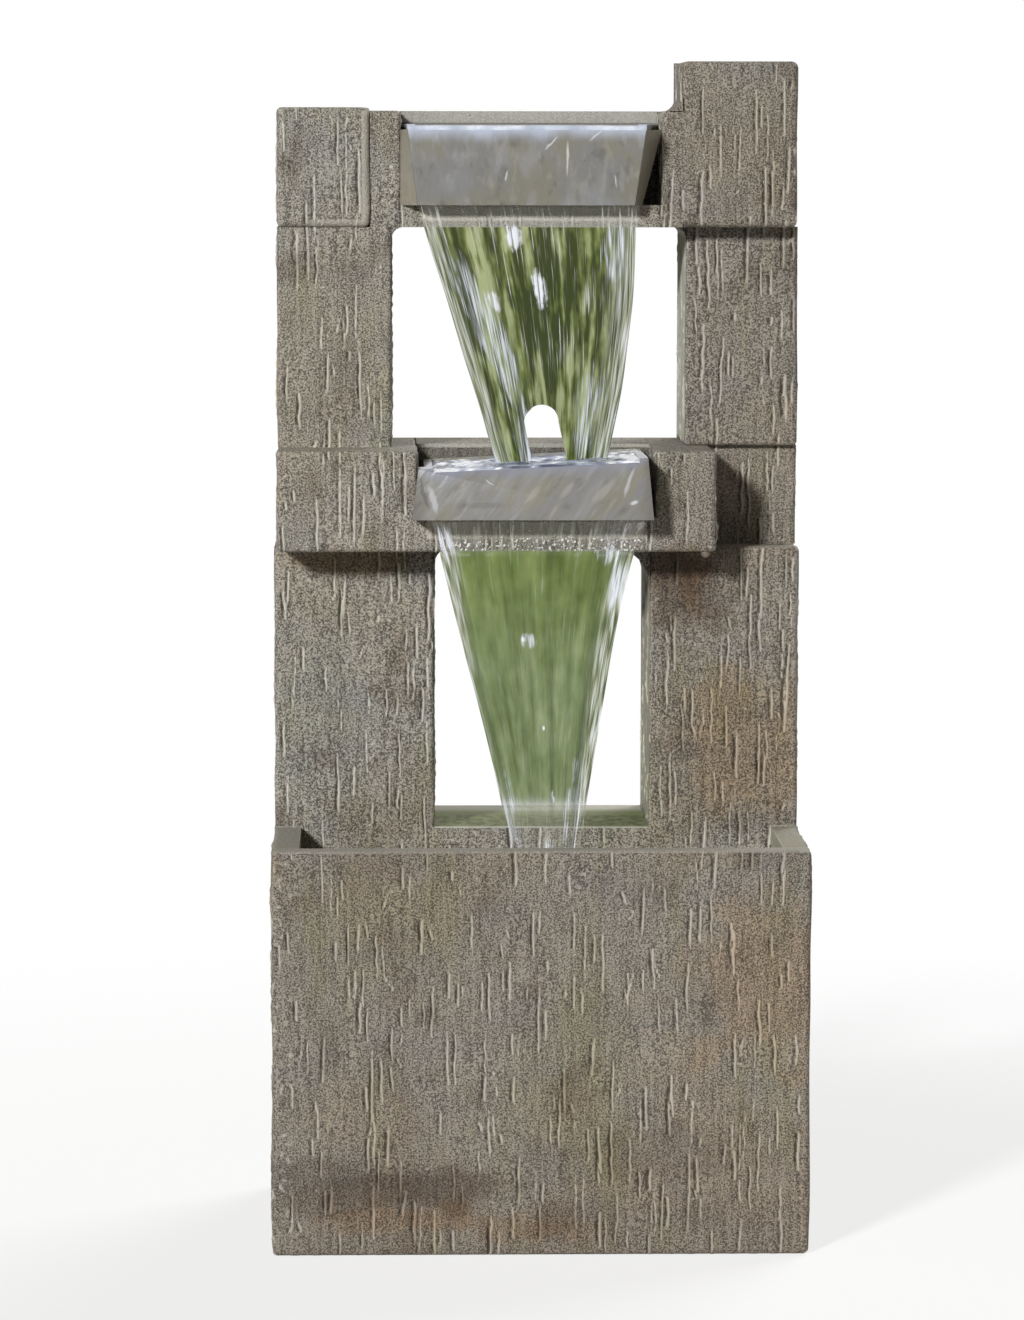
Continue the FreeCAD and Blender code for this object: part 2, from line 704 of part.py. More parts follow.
# Tower bolts, up through the deck into the lower posts
BOLT_ROW = "(tower_front + block_back) / 2"
BOLTS = [
    (left_lower_post, "-inner_side + bolt_head + 2 * slide_gap"),
    (left_lower_post, "low_window_left - cast_end"),
    (right_lower_post, "low_window_right + cast_end"),
    (right_lower_post, "inner_side - bolt_head - 2 * slide_gap"),
]
BOLT_SPAN = ("deck_under - 1", "base_height + bolt_grip + 1")
bolts = []
for held, x in BOLTS:
    at = (x, BOLT_ROW)
    for drilled in (tower_deck, held):
        rod(drilled, "bolt_hole", "z", at, BOLT_SPAN, "bolt_radius + thread_gap", cut=True)
    shank = pin("bolt_shank", "z", at, ("deck_under", "base_height + bolt_grip"), "bolt_radius")
    head = pin("bolt_cap", "z", at, ("deck_under - bolt_head_height", "deck_under"), "bolt_head")
    bolts.append(joined("tower_bolt", [shank, head]))
group("tower_bolts", bolts)

# Upper spill tray: narrower in front and at its foot, with the front leaning out
upper_tray = piece("upper_spill_tray")


def tray_plan(name, height, front, front_inset, back_inset, wall):
    """Draw the upper tray's outline at one height, in from its outside by a wall."""
    return outline(
        upper_tray,
        name,
        height,
        [
            (f"lintel_notch_left + lip_inset_left + {front_inset} + {wall}", f"{front} + {wall}"),
            (f"lintel_notch_right - lip_inset_right - ({front_inset}) - ({wall})", f"{front} + {wall}"),
            (f"lintel_notch_right - tray_fit - ({back_inset}) - ({wall})", f"upper_tray_back - ({wall})"),
            (f"lintel_notch_left + tray_fit + {back_inset} + {wall}", f"upper_tray_back - ({wall})"),
        ],
    )


TRAY_FOOT = ("upper_foot", "lip_taper", "cheek_taper")
TRAY_TOP = ("upper_lip", "0", "0")
lofted(
    upper_tray,
    "shell",
    [
        tray_plan("foot", "lintel_notch_foot", *TRAY_FOOT, "0"),
        tray_plan("top", "upper_tray_top", *TRAY_TOP, "0"),
    ],
)
lofted(
    upper_tray,
    "water_space",
    [
        tray_plan("inner_foot", "lintel_notch_foot + tray_floor", *TRAY_FOOT, "tray_wall"),
        tray_plan("inner_top", "upper_tray_top + 1", *TRAY_TOP, "tray_wall"),
    ],
    cut=True,
)
block(
    upper_tray,
    "spill_lip",
    (
        "lintel_notch_left + lip_inset_left + tray_wall",
        "lintel_notch_right - lip_inset_right - tray_wall",
    ),
    ("upper_lip - 1", "upper_lip + 2 * tray_wall"),
    ("upper_tray_top - lip_drop", "upper_tray_top + 1"),
    cut=True,
)
rod(
    upper_tray,
    "inlet_hole",
    "y",
    INLET,
    ("upper_tray_back - tray_wall - 1", "upper_tray_back + 1"),
    "spigot_radius + thread_gap",
    cut=True,
)

# Lower spill tray, seated in the beam's notch, with a wider front
lower_tray = piece("lower_spill_tray")
LOWER_TRAY_HEIGHT = ("beam_notch_foot", "lower_tray_top")
block(
    lower_tray,
    "trough",
    ("beam_notch_left + tray_fit", "beam_notch_right - spill_wing_right - tray_fit"),
    ("lower_lip", "beam_notch_back - tray_fit"),
    LOWER_TRAY_HEIGHT,
)
block(
    lower_tray,
    "spill_front",
    ("beam_notch_left - spill_wing_left", "beam_notch_right - spill_wing_right"),
    ("lower_lip", "beam_front - tray_fit"),
    LOWER_TRAY_HEIGHT,
)
INNER_SIDES = (
    "beam_notch_left + tray_fit + tray_wall",
    "beam_notch_right - spill_wing_right - tray_fit - tray_wall",
)
block(
    lower_tray,
    "water_space",
    INNER_SIDES,
    ("lower_lip + tray_wall", "beam_notch_back - tray_fit - tray_wall"),
    ("beam_notch_foot + tray_floor", "lower_tray_top + 1"),
    cut=True,
)
block(
    lower_tray,
    "spill_lip",
    INNER_SIDES,
    ("lower_lip - 1", "lower_lip + tray_wall + 1"),
    ("lower_tray_top - lip_drop", "lower_tray_top + 1"),
    cut=True,
)

# Falling water, drawn in as it falls
upper_fall = piece("upper_water_sheet")
UPPER_LEFT = "lintel_notch_left + lip_inset_left + lip_taper"
UPPER_RIGHT = "lintel_notch_right - lip_inset_right - lip_taper"
UPPER_FOOT = "lower_tray_top - lip_drop"
UPPER_SECTIONS = [
    ("leaving", "lintel_notch_foot", 0.0, 0.0, "sheet_thickness"),
    ("middle", f"lintel_notch_foot * 0.55 + ({UPPER_FOOT}) * 0.45", 0.42, 0.2, "sheet_thickness"),
    ("landing", UPPER_FOOT, 1.0, 1.0, "stream_thickness"),
]
lofted(
    upper_fall,
    "fall",
    [
        outline(
            upper_fall,
            name,
            height,
            ring_corners(
                (f"{UPPER_LEFT} + {left} * upper_fall_left", f"{UPPER_RIGHT} - {right} * upper_fall_right"),
                ("upper_foot", f"upper_foot + {thickness}"),
            ),
        )
        for name, height, left, right, thickness in UPPER_SECTIONS
    ],
    ruled=False,
)
GAP_MIDDLE = f"(({UPPER_LEFT}) + upper_fall_left + ({UPPER_RIGHT}) - upper_fall_right) / 2"
WATER_SPAN = ("upper_foot - 1", "upper_foot + 2 * stream_thickness")
rod(
    upper_fall,
    "gap_top",
    "y",
    (GAP_MIDDLE, f"{UPPER_FOOT} + upper_fall_split"),
    WATER_SPAN,
    "upper_fall_gap",
    cut=True,
)
block(
    upper_fall,
    "gap",
    (f"{GAP_MIDDLE} - upper_fall_gap", f"{GAP_MIDDLE} + upper_fall_gap"),
    WATER_SPAN,
    (f"{UPPER_FOOT} - 1", f"{UPPER_FOOT} + upper_fall_split"),
    cut=True,
)
lower_fall = piece("lower_water_sheet")
LOWER_SECTIONS = [
    ("leaving", "beam_notch_foot", 0.0, "sheet_thickness"),
    ("middle", "(beam_notch_foot + base_height) / 2", 0.5, "sheet_thickness"),
    ("rim", "base_height", 1.0, "stream_thickness"),
    ("landing", "water_level", 1.2, "stream_thickness"),
]
LOWER_LEFT = "beam_notch_left - spill_wing_left + fall_inset_left"
LOWER_RIGHT = "beam_notch_right - spill_wing_right - fall_inset_right"
lofted(
    lower_fall,
    "fall",
    [
        outline(
            lower_fall,
            name,
            height,
            ring_corners(
                (f"{LOWER_LEFT} + {share} * lower_fall_left", f"{LOWER_RIGHT} - {share} * lower_fall_right"),
                ("lower_lip", f"lower_lip + {thickness}"),
            ),
        )
        for name, height, share, thickness in LOWER_SECTIONS
    ],
    ruled=False,
)

# Inlet elbow through the lintel into the upper tray, with its gasket and nut
FLANGE_FACE = "lintel_notch_back + cast_side"
NUT_FACE = "upper_tray_back - tray_wall"
elbow = piece("inlet_elbow")
BARB = ("hose_y", "elbow_z")
rod(elbow, "barb", "x", BARB, ("elbow_x - hose_reach + hose_wall", "elbow_x"), "spigot_radius")
rod(elbow, "leg", "y", INLET, (f"{NUT_FACE} - cast_side", "hose_y"), "spigot_radius")
corner = elbow.newObject("PartDesign::AdditiveSphere", "corner")
bind(corner, Radius="spigot_radius + hose_wall")
place(corner, "elbow_x", "hose_y", "elbow_z")
rod(elbow, "flange", "y", INLET, (FLANGE_FACE, f"{FLANGE_FACE} + gland_flange"), "elbow_flange")
rod(elbow, "barb_way", "x", BARB, ("elbow_x - hose_reach", "elbow_x"), "elbow_bore", cut=True)
rod(elbow, "leg_way", "y", INLET, (f"{NUT_FACE} - 2 * cast_side", "hose_y"), "elbow_bore", cut=True)
inlet_gasket = piece("inlet_gasket")
rod(inlet_gasket, "ring", "y", INLET, ("upper_tray_back", "lintel_notch_back"), "elbow_flange")
rod(
    inlet_gasket,
    "hole",
    "y",
    INLET,
    ("upper_tray_back - 1", "lintel_notch_back + 1"),
    "spigot_radius + thread_gap",
    cut=True,
)
inlet_nut = piece("inlet_nut")
hexagon = inlet_nut.newObject("PartDesign::AdditivePrism", "hexagon")
hexagon.Polygon = 6
bind(hexagon, Circumradius="nut_radius", Height="tray_wall")
place(hexagon, "elbow_x", f"{NUT_FACE} - tray_wall", "elbow_z", "y")
rod(
    inlet_nut,
    "thread",
    "y",
    INLET,
    (f"{NUT_FACE} - tray_wall - 1", f"{NUT_FACE} + 1"),
    "spigot_radius + running_gap",
    cut=True,
)

# Delivery hose: straight up the left column, one bend, and along to the elbow
hose = piece("delivery_hose")
ring = hose.newObject("Sketcher::SketchObject", "ring")
run = hose.newObject("Sketcher::SketchObject", "run")
planes = {item.Role: item for item in hose.Origin.OriginFeatures}
for drawn, role in ((ring, "XY_Plane"), (run, "XZ_Plane")):
    drawn.AttachmentSupport = (planes[role], [""])
    drawn.MapMode = "FlatFace"
ring.setExpression("AttachmentOffset.Base.z", spelled("pump_top"))
run.setExpression("AttachmentOffset.Base.z", spelled("-(hose_y)"))
for radius in ("hose_radius", "hose_radius - hose_wall"):
    start = measured(radius)
    circle = ring.addGeometry(Part.Circle(FreeCAD.Vector(0, 0, 0), FreeCAD.Vector(0, 0, 1), start), False)
    tie(ring, "DistanceX", "hose_x", circle, 3)
    tie(ring, "DistanceY", "hose_y", circle, 3)
    tie(ring, "Radius", radius, circle)
HOSE_END = "elbow_x - hose_radius - hose_wall"
pump_end = FreeCAD.Vector(measured("hose_x"), measured("pump_top"), 0)
bend_start = FreeCAD.Vector(measured("hose_x"), measured("elbow_z - hose_bend"), 0)
bend_centre = FreeCAD.Vector(measured("hose_x + hose_bend"), measured("elbow_z - hose_bend"), 0)
bend_middle = bend_centre + FreeCAD.Vector(-1, 1, 0).normalize() * measured("hose_bend")
bend_end = FreeCAD.Vector(measured("hose_x + hose_bend"), measured("elbow_z"), 0)
elbow_end = FreeCAD.Vector(measured(HOSE_END), measured("elbow_z"), 0)
upright = run.addGeometry(Part.LineSegment(pump_end, bend_start), False)
turn = run.addGeometry(Part.Arc(bend_start, bend_middle, bend_end), False)
level = run.addGeometry(Part.LineSegment(bend_end, elbow_end), False)
run.addConstraint(Sketcher.Constraint("Tangent", upright, 2, turn, 2))
run.addConstraint(Sketcher.Constraint("Tangent", turn, 1, level, 1))
run.addConstraint(Sketcher.Constraint("Vertical", upright))
run.addConstraint(Sketcher.Constraint("Horizontal", level))
tie(run, "DistanceX", "hose_x", upright, 1)
tie(run, "DistanceY", "pump_top", upright, 1)
tie(run, "DistanceX", HOSE_END, level, 2)
tie(run, "DistanceY", "elbow_z", level, 2)
tie(run, "Radius", "hose_bend", turn)
doc.recompute()
tube = hose.newObject("PartDesign::AdditivePipe", "tube")
tube.Profile = ring
tube.Spine = (run, ["Edge1", "Edge2", "Edge3"])

# Hose clamps on both spigots, and clips that hold the hose to the rear panel
CLAMPS = [
    ("z", ("hose_x", "hose_y"), "pump_top + outlet_length / 2"),
    ("x", BARB, "elbow_x - hose_reach / 2 - clamp_width / 2"),
]
clamps = []
for along, at, start in CLAMPS:
    span = (start, f"{start} + clamp_width")
    band = pin("band", along, at, span, "clamp_radius + clamp_wall")
    ear = doc.addObject("Part::Box", "ear")
    bind(ear, Length="clamp_width", Width="clamp_width", Height="clamp_width")
    if along == "z":
        place(ear, "hose_x - clamp_width / 2", "hose_y - clamp_radius - clamp_width", start)
    else:
        place(ear, start, "hose_y - clamp_width / 2", "elbow_z + clamp_radius - clamp_wall")
    hole = pin("hose_hole", along, at, (f"{start} - 1", f"{start} + clamp_width + 1"), "clamp_radius")
    clamp = doc.addObject("Part::Cut", "hose_clamp")
    clamp.Base = joined("clamp_blank", [band, ear])
    clamp.Tool = hole
    clamps.append(clamp)
group("hose_clamps", clamps)
CLIPS = ["(base_height + lower_top) / 2", "(beam_top + upper_top) / 2"]
UPRIGHT = ("hose_x", "hose_y")
clips = []
for start in CLIPS:
    end = f"{start} + clip_height"
    band = pin("clip_band", "z", UPRIGHT, (start, end), "clamp_radius + hose_wall")
    arm = doc.addObject("Part::Box", "arm")
    bind(arm, Length="clamp_width", Width="hose_standoff", Height="clip_height")
    place(arm, "hose_x - clamp_width / 2", "hose_y", start)
    hole = pin("clip_hole", "z", UPRIGHT, (f"{start} - 1", f"{end} + 1"), "clamp_radius")
    clip = doc.addObject("Part::Cut", "hose_clip")
    clip.Base = joined("clip_blank", [band, arm])
    clip.Tool = hole
    clips.append(clip)
group("hose_clips", clips)

# Access hatch, with a plug that enters the opening, a gasket and four screws
hatch = piece("access_hatch")
FLANGE_BACK = "basin_back - hatch_flange"
block(
    hatch,
    "flange",
    ("hatch_left - hatch_margin + hatch_fit", "hatch_right + hatch_margin - hatch_fit"),
    (FLANGE_BACK, "basin_back"),
    ("hatch_foot - hatch_margin + hatch_fit", "hatch_top + hatch_margin - hatch_fit"),
)
block(
    hatch,
    "plug",
    ("hatch_left + hatch_fit", "hatch_right - hatch_fit"),
    (f"{FLANGE_BACK} - hatch_flange", FLANGE_BACK),
    ("hatch_foot + hatch_fit", "hatch_top - hatch_fit"),
)
rod(
    hatch,
    "finger_hole",
    "y",
    ("hatch_x", "hatch_top - 2 * finger_hole"),
    (f"{FLANGE_BACK} - hatch_flange - 1", "basin_back + 1"),
    "finger_hole",
    cut=True,
)
gasket = piece("hatch_gasket")
GASKET_SPAN = ("rebate_floor", FLANGE_BACK)
block(
    gasket,
    "sheet",
    ("hatch_left - hatch_margin + hatch_fit", "hatch_right + hatch_margin - hatch_fit"),
    GASKET_SPAN,
    ("hatch_foot - hatch_margin + hatch_fit", "hatch_top + hatch_margin - hatch_fit"),
)
block(
    gasket,
    "opening",
    ("hatch_left", "hatch_right"),
    ("rebate_floor - 1", f"{FLANGE_BACK} + 1"),
    ("hatch_foot", "hatch_top"),
    cut=True,
)
hatch_screws = []
for x in ("hatch_left - hatch_margin / 2", "hatch_right + hatch_margin / 2"):
    for z in ("hatch_foot - hatch_margin / 2", "hatch_top + hatch_margin / 2"):
        at = (x, z)
        through = ("chamber_back - 1", "basin_back + 1")
        for held in (basin, hatch, gasket):
            rod(held, "hatch_screw_hole", "y", at, through, "screw_hole", cut=True)
        rod(hatch, "hatch_head_recess", "y", at, HEAD_RECESS, "head_hole", cut=True)
        shank = pin("hatch_shank", "y", at, ("chamber_back", "basin_back"), "screw_radius")
        head = pin("hatch_head", "y", at, HEAD_SPAN, "screw_head")
        hatch_screws.append(joined("hatch_screw", [shank, head]))
group("hatch_screws", hatch_screws)

# Cable gland, a rubber grommet with a flange on each side of the wall
gland = piece("cable_gland")
GLAND_FLANGE = "gland_radius + gland_flange"
rod(gland, "neck", "y", GLAND, ("chamber_back - gland_flange", "basin_back"), "gland_radius")
rod(gland, "outer_flange", "y", GLAND, ("basin_back - gland_flange", "basin_back"), GLAND_FLANGE)
rod(gland, "inner_flange", "y", GLAND, ("chamber_back - gland_flange", "chamber_back"), GLAND_FLANGE)
CABLE_SPAN = ("chamber_back - gland_flange - 1", "basin_back + 1")
rod(gland, "cable_way", "y", GLAND, CABLE_SPAN, "gland_bore", cut=True)

# Drain plug with a coin slot
drain = piece("drain_plug")
rod(drain, "neck", "y", DRAIN, ("chamber_back", "basin_back"), "drain_radius")
rod(drain, "head", "y", DRAIN, ("basin_back - drain_head_height", "basin_back"), "drain_head")
block(
    drain,
    "coin_slot",
    ("drain_x - drain_radius", "drain_x + drain_radius"),
    ("basin_back - drain_head_height / 2", "basin_back + 1"),
    ("drain_height - drain_radius / 6", "drain_height + drain_radius / 6"),
    cut=True,
)

# Pump motor with the rotor's well
AXIS = ("pump_y", "pump_z")
PUMP_Y = ("pump_front", "pump_rear")
PUMP_Z = ("pump_foot", "pump_top")
motor = piece("pump_motor")
eased(motor, block(motor, "case", ("motor_left", "volute_left"), PUMP_Y, PUMP_Z), "edge_ease")
SEAL_SPAN = ("volute_left - seal_section", "volute_left + 1")
rod(motor, "seal_groove", "x", AXIS, SEAL_SPAN, "seal_radius + thread_gap", cut=True)
SEAL_HOLE = "seal_radius - seal_section"
SEAL_SEAT = ("volute_left - seal_section", "volute_left")
rod(motor, "seal_land", "x", AXIS, SEAL_SEAT, f"{SEAL_HOLE} - thread_gap")
rod(motor, "well", "x", AXIS, ("well_foot", "volute_left + 1"), "rotor_well", cut=True)
rod(motor, "bush_seat", "x", AXIS, ("bush_foot", "volute_left + 1"), "sleeve_radius + thread_gap", cut=True)
seal = piece("pump_seal")
rod(seal, "ring", "x", AXIS, SEAL_SEAT, "seal_radius")
rod(seal, "hole", "x", AXIS, SEAL_SPAN, SEAL_HOLE, cut=True)

# Pump volute: impeller chamber, four inlet ports round the front bush, outlet spigot, strainer rim
volute = piece("pump_volute")
eased(volute, block(volute, "case", ("volute_left", "volute_right"), PUMP_Y, PUMP_Z), "edge_ease")
RIM = "edge_ease + strainer_wall + thread_gap"
block(
    volute,
    "strainer_rim",
    ("volute_right - 1", "volute_right + strainer_seat"),
    (f"pump_front + {RIM}", f"pump_rear - ({RIM})"),
    (f"pump_foot + {RIM}", f"pump_top - ({RIM})"),
)
block(
    volute,
    "rim_opening",
    ("volute_right", "volute_right + strainer_seat + 1"),
    (f"pump_front + {RIM} + strainer_wall", f"pump_rear - ({RIM}) - strainer_wall"),
    (f"pump_foot + {RIM} + strainer_wall", f"pump_top - ({RIM}) - strainer_wall"),
    cut=True,
)
rod(volute, "chamber", "x", AXIS, ("volute_left - 1", "chamber_face"), "volute_radius", cut=True)
rod(volute, "outlet", "z", UPRIGHT, ("pump_top - edge_ease", "pump_top + outlet_length"), "spigot_radius")
rod(volute, "outlet_way", "z", UPRIGHT, ("pump_z", "pump_top + outlet_length + 1"), "elbow_bore", cut=True)
BUSH_HOLE = "2 * shaft_radius + thread_gap"
rod(volute, "bush_hole", "x", AXIS, ("chamber_face - 1", "bush_end"), BUSH_HOLE, cut=True)
PORT_OFFSET = "volute_radius * 0.6"
PORTS = [
    ("pump_y", f"pump_z + {PORT_OFFSET}"),
    ("pump_y", f"pump_z - ({PORT_OFFSET})"),
    (f"pump_y + {PORT_OFFSET}", "pump_z"),
    (f"pump_y - ({PORT_OFFSET})", "pump_z"),
]
PORT_SPAN = ("chamber_face - 1", "volute_right + 1")
for at in PORTS:
    rod(volute, "inlet_port", "x", at, PORT_SPAN, "volute_radius * 0.25", cut=True)
KNOB = ("hose_x", "pump_z")
rod(
    volute,
    "knob_seat",
    "y",
    KNOB,
    ("pump_front - 1", "pump_front + knob_height - running_gap"),
    "knob_stem + running_gap",
    cut=True,
)

# Shaft and its two bushes
shaft = piece("rotor_shaft")
rod(shaft, "shaft", "x", AXIS, ("bush_foot", "bush_end"), "shaft_radius")
BUSHES = [("bush_foot", "well_foot", "sleeve_radius"), ("chamber_face", "bush_end", "2 * shaft_radius")]
bushes = []
for start, end, radius in BUSHES:
    bush = doc.addObject("Part::Cut", "bush")
    bush.Base = pin("bush_blank", "x", AXIS, (start, end), radius)
    bush.Tool = pin("bush_bore", "x", AXIS, (f"{start} - 1", f"{end} + 1"), "shaft_radius + running_gap")
    bushes.append(bush)
group("shaft_bushes", bushes)

# Impeller and the magnet on its sleeve
impeller = piece("impeller")
SLEEVE_START = "well_foot + impeller_gap"
DISC_START = "volute_left + impeller_gap"
DISC_END = "volute_left + impeller_gap + blade_thickness"
BLADE_END = "chamber_face - impeller_gap"
rod(impeller, "sleeve", "x", AXIS, (SLEEVE_START, BLADE_END), "sleeve_radius")
rod(impeller, "disc", "x", AXIS, (DISC_START, DISC_END), "impeller_radius")
BLADE_REACH = "impeller_radius - impeller_gap / 2"
BLADES = [
    ("upright_blades", "blade_thickness / 2", BLADE_REACH),
    ("level_blades", BLADE_REACH, "blade_thickness / 2"),
]
for name, y, z in BLADES:
    block(
        impeller,
        name,
        (DISC_START, BLADE_END),
        (f"pump_y - ({y})", f"pump_y + {y}"),
        (f"pump_z - ({z})", f"pump_z + {z}"),
    )
BORE_SPAN = (f"{SLEEVE_START} - 1", f"{BLADE_END} + 1")
rod(impeller, "bore", "x", AXIS, BORE_SPAN, "shaft_radius + running_gap", cut=True)
magnet = piece("rotor_magnet")
MAGNET_SPAN = (SLEEVE_START, f"{SLEEVE_START} + rotor_length")
rod(magnet, "magnet", "x", AXIS, MAGNET_SPAN, "rotor_well - rotor_gap")
rod(
    magnet,
    "bore",
    "x",
    AXIS,
    (f"{SLEEVE_START} - 1", f"{SLEEVE_START} + rotor_length + 1"),
    "sleeve_radius + running_gap",
    cut=True,
)

# Strainer: a slotted box over the pump's inlet
strainer = piece("pump_strainer")
STRAINER_END = "volute_right + strainer_length"
block(
    strainer,
    "box",
    ("volute_right", STRAINER_END),
    ("pump_front + edge_ease", "pump_rear - edge_ease"),
    ("pump_foot + edge_ease", "pump_top - edge_ease"),
)
block(
    strainer,
    "inside",
    ("volute_right - 1", f"{STRAINER_END} - strainer_wall"),
    ("pump_front + edge_ease + strainer_wall", "pump_rear - edge_ease - strainer_wall"),
    ("pump_foot + edge_ease + strainer_wall", "pump_top - edge_ease - strainer_wall"),
    cut=True,
)
for slot in range(5):
    middle = f"pump_y + {slot - 2} * pump_size / 7"
    block(
        strainer,
        "slot",
        (f"{STRAINER_END} - strainer_wall - 1", f"{STRAINER_END} + 1"),
        (f"{middle} - strainer_wall / 2", f"{middle} + strainer_wall / 2"),
        ("pump_foot + pump_size / 5", "pump_top - pump_size / 5"),
        cut=True,
    )

# Flow knob with a grip rib
knob = piece("flow_knob")
DIAL_SPAN = ("pump_front - knob_height - slide_gap", "pump_front - slide_gap")
rod(knob, "dial", "y", KNOB, DIAL_SPAN, "knob_radius")
rod(knob, "stem", "y", KNOB, ("pump_front - knob_height", "pump_front + knob_height - 1"), "knob_stem")
block(
    knob,
    "rib",
    ("hose_x - strainer_wall / 2", "hose_x + strainer_wall / 2"),
    ("pump_front - knob_height - strainer_wall - slide_gap", "pump_front - knob_height"),
    ("pump_z - knob_stem", "pump_z + knob_radius"),
)

# Suction feet
feet = []
for x in ("motor_left + pump_foot_height", "hose_x"):
    for y in ("pump_front + pump_foot_height", "pump_rear - pump_foot_height"):
        foot = doc.addObject("Part::Cone", "foot")
        bind(foot, Radius1="pump_foot_height * 0.9", Radius2="pump_foot_height * 0.5")
        bind(foot, Height="pump_foot_height")
        place(foot, x, y, "floor_wall")
        feet.append(foot)
group("pump_feet", feet)

# Check every piece, then write one file for each
doc.recompute()
for made in doc.Objects:
    if "Invalid" in made.State or "Error" in made.State:
        raise RuntimeError(f"{made.Label}: {made.State}")
os.makedirs("parts", exist_ok=True)
for made in PIECES:
    if made.Shape.isNull() or not made.Shape.isValid() or not made.Shape.Solids:
        raise RuntimeError(f"{made.Label} is not a sound solid")
    made.Shape.exportStep(f"parts/{made.Label}.step")
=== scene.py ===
"""Tiered fountain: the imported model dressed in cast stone, wet trays and falling water."""

import logging
import math
from abc import ABC, abstractmethod
from dataclasses import dataclass, field
from enum import Enum
from typing import Iterable, Union

import bmesh
import bpy
import numpy as np
from bmesh.types import BMEdge, BMesh, BMVert
from bpy.types import ID, ColorRamp, Material, Mesh, Node, NodeSocket, Object, World
from mathutils import Matrix, Vector


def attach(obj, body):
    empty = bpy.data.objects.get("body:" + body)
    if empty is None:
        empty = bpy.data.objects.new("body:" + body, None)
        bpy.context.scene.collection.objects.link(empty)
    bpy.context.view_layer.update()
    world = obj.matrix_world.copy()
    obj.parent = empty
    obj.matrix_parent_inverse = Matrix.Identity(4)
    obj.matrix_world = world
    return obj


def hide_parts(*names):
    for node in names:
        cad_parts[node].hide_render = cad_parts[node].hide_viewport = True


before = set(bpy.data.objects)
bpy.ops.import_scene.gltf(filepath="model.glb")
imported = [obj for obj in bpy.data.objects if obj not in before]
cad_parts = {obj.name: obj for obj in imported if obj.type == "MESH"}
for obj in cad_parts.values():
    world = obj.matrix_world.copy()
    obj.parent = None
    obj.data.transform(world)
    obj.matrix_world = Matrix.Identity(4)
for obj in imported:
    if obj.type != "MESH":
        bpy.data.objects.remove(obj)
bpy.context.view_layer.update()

LOG = logging.getLogger("fountain")
MM = 0.001
BODY = "fountain"
Colour = tuple[float, float, float]
Triple = tuple[float, float, float]
WELD = 1e-6
FLAT_WITHIN = math.radians(1.0)
SMOOTH_WITHIN = math.radians(50.0)


def metres(x: float, y: float, z: float) -> Vector:
    """Give a point in metres from millimetres."""
    return Vector((x * MM, y * MM, z * MM))


def linked(name: str, data: ID) -> Object:
    """Make an object and put it in the scene.

    Args:
        name: Its name.
        data: Its mesh, lamp or camera.

    Returns:
        The object.
    """
    made = bpy.data.objects.new(name, data)
    bpy.context.scene.collection.objects.link(made)
    return made


def mesh_of(name: str, shape: BMesh) -> Mesh:
    """Make a mesh of a shape, which is used up.

    Args:
        name: The mesh's name.
        shape: The shape.

    Returns:
        The mesh.
    """
    mesh = bpy.data.meshes.new(name)
    shape.to_mesh(mesh)
    shape.free()
    return mesh


def join(whole: BMesh, part: BMesh) -> None:
    """Add a part to a whole.

    Args:
        whole: What it is added to.
        part: The part, which is used up.
    """
    mesh = mesh_of("part", part)
    whole.from_mesh(mesh)
    bpy.data.meshes.remove(mesh)


def merged_copy(node: str) -> BMesh:
    """Copy a CAD node, with its loose triangles merged into flat faces.

    Args:
        node: The node's name.

    Returns:
        The copy.
    """
    copy = bmesh.new()
    copy.from_mesh(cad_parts[node].data)
    bmesh.ops.remove_doubles(copy, verts=copy.verts, dist=WELD)
    bmesh.ops.dissolve_limit(copy, angle_limit=FLAT_WITHIN, verts=copy.verts, edges=copy.edges)
    return copy


def stone_layers(shape: BMesh) -> tuple:
    """Give a shape the two layers that the stone's finish reads, for its relief and its edges."""
    return tuple(shape.verts.layers.float.new(name) for name in ("relief", "edge"))


def round_edges(shape: BMesh, edges: list[BMEdge], radius: float) -> None:
    """Round some edges of a shape by a radius in millimetres."""
    bmesh.ops.bevel(shape, geom=edges, offset=radius * MM, offset_type="OFFSET", segments=3,
                    profile=0.5, affect="EDGES", clamp_overlap=True, material=-1)


def smooth(shape: BMesh) -> BMesh:
    """Shade all the faces of a shape smoothly.

    Args:
        shape: The shape.

    Returns:
        The same shape.
    """
    for face in shape.faces:
        face.smooth = True
    return shape


def thicken(skin: BMesh, thickness: float) -> BMesh:
    """Turn an open skin into a closed shell, shaded smoothly.

    Args:
        skin: The skin.
        thickness: Its thickness in millimetres.

    Returns:
        The same skin, closed.
    """
    bmesh.ops.solidify(skin, geom=skin.faces[:], thickness=thickness * MM)
    bmesh.ops.recalc_face_normals(skin, faces=skin.faces)
    return smooth(skin)


class Side(Enum):
    """The six sides of a block, as an axis and a direction along it."""

    LEFT = (0, -1)
    RIGHT = (0, 1)
    FRONT = (1, -1)
    BACK = (1, 1)
    BOTTOM = (2, -1)
    TOP = (2, 1)

    @property
    def axis(self) -> int:
        """Give the axis that the side faces along."""
        return self.value[0]

    @property
    def way(self) -> int:
        """Give the direction along that axis."""
        return self.value[1]

    @classmethod
    def facing(cls, normal: Vector) -> "Side":
        """Find the side whose direction is nearest to a normal's."""
        return max(cls, key=lambda side: normal[side.axis] * side.way)


# Shader sheets


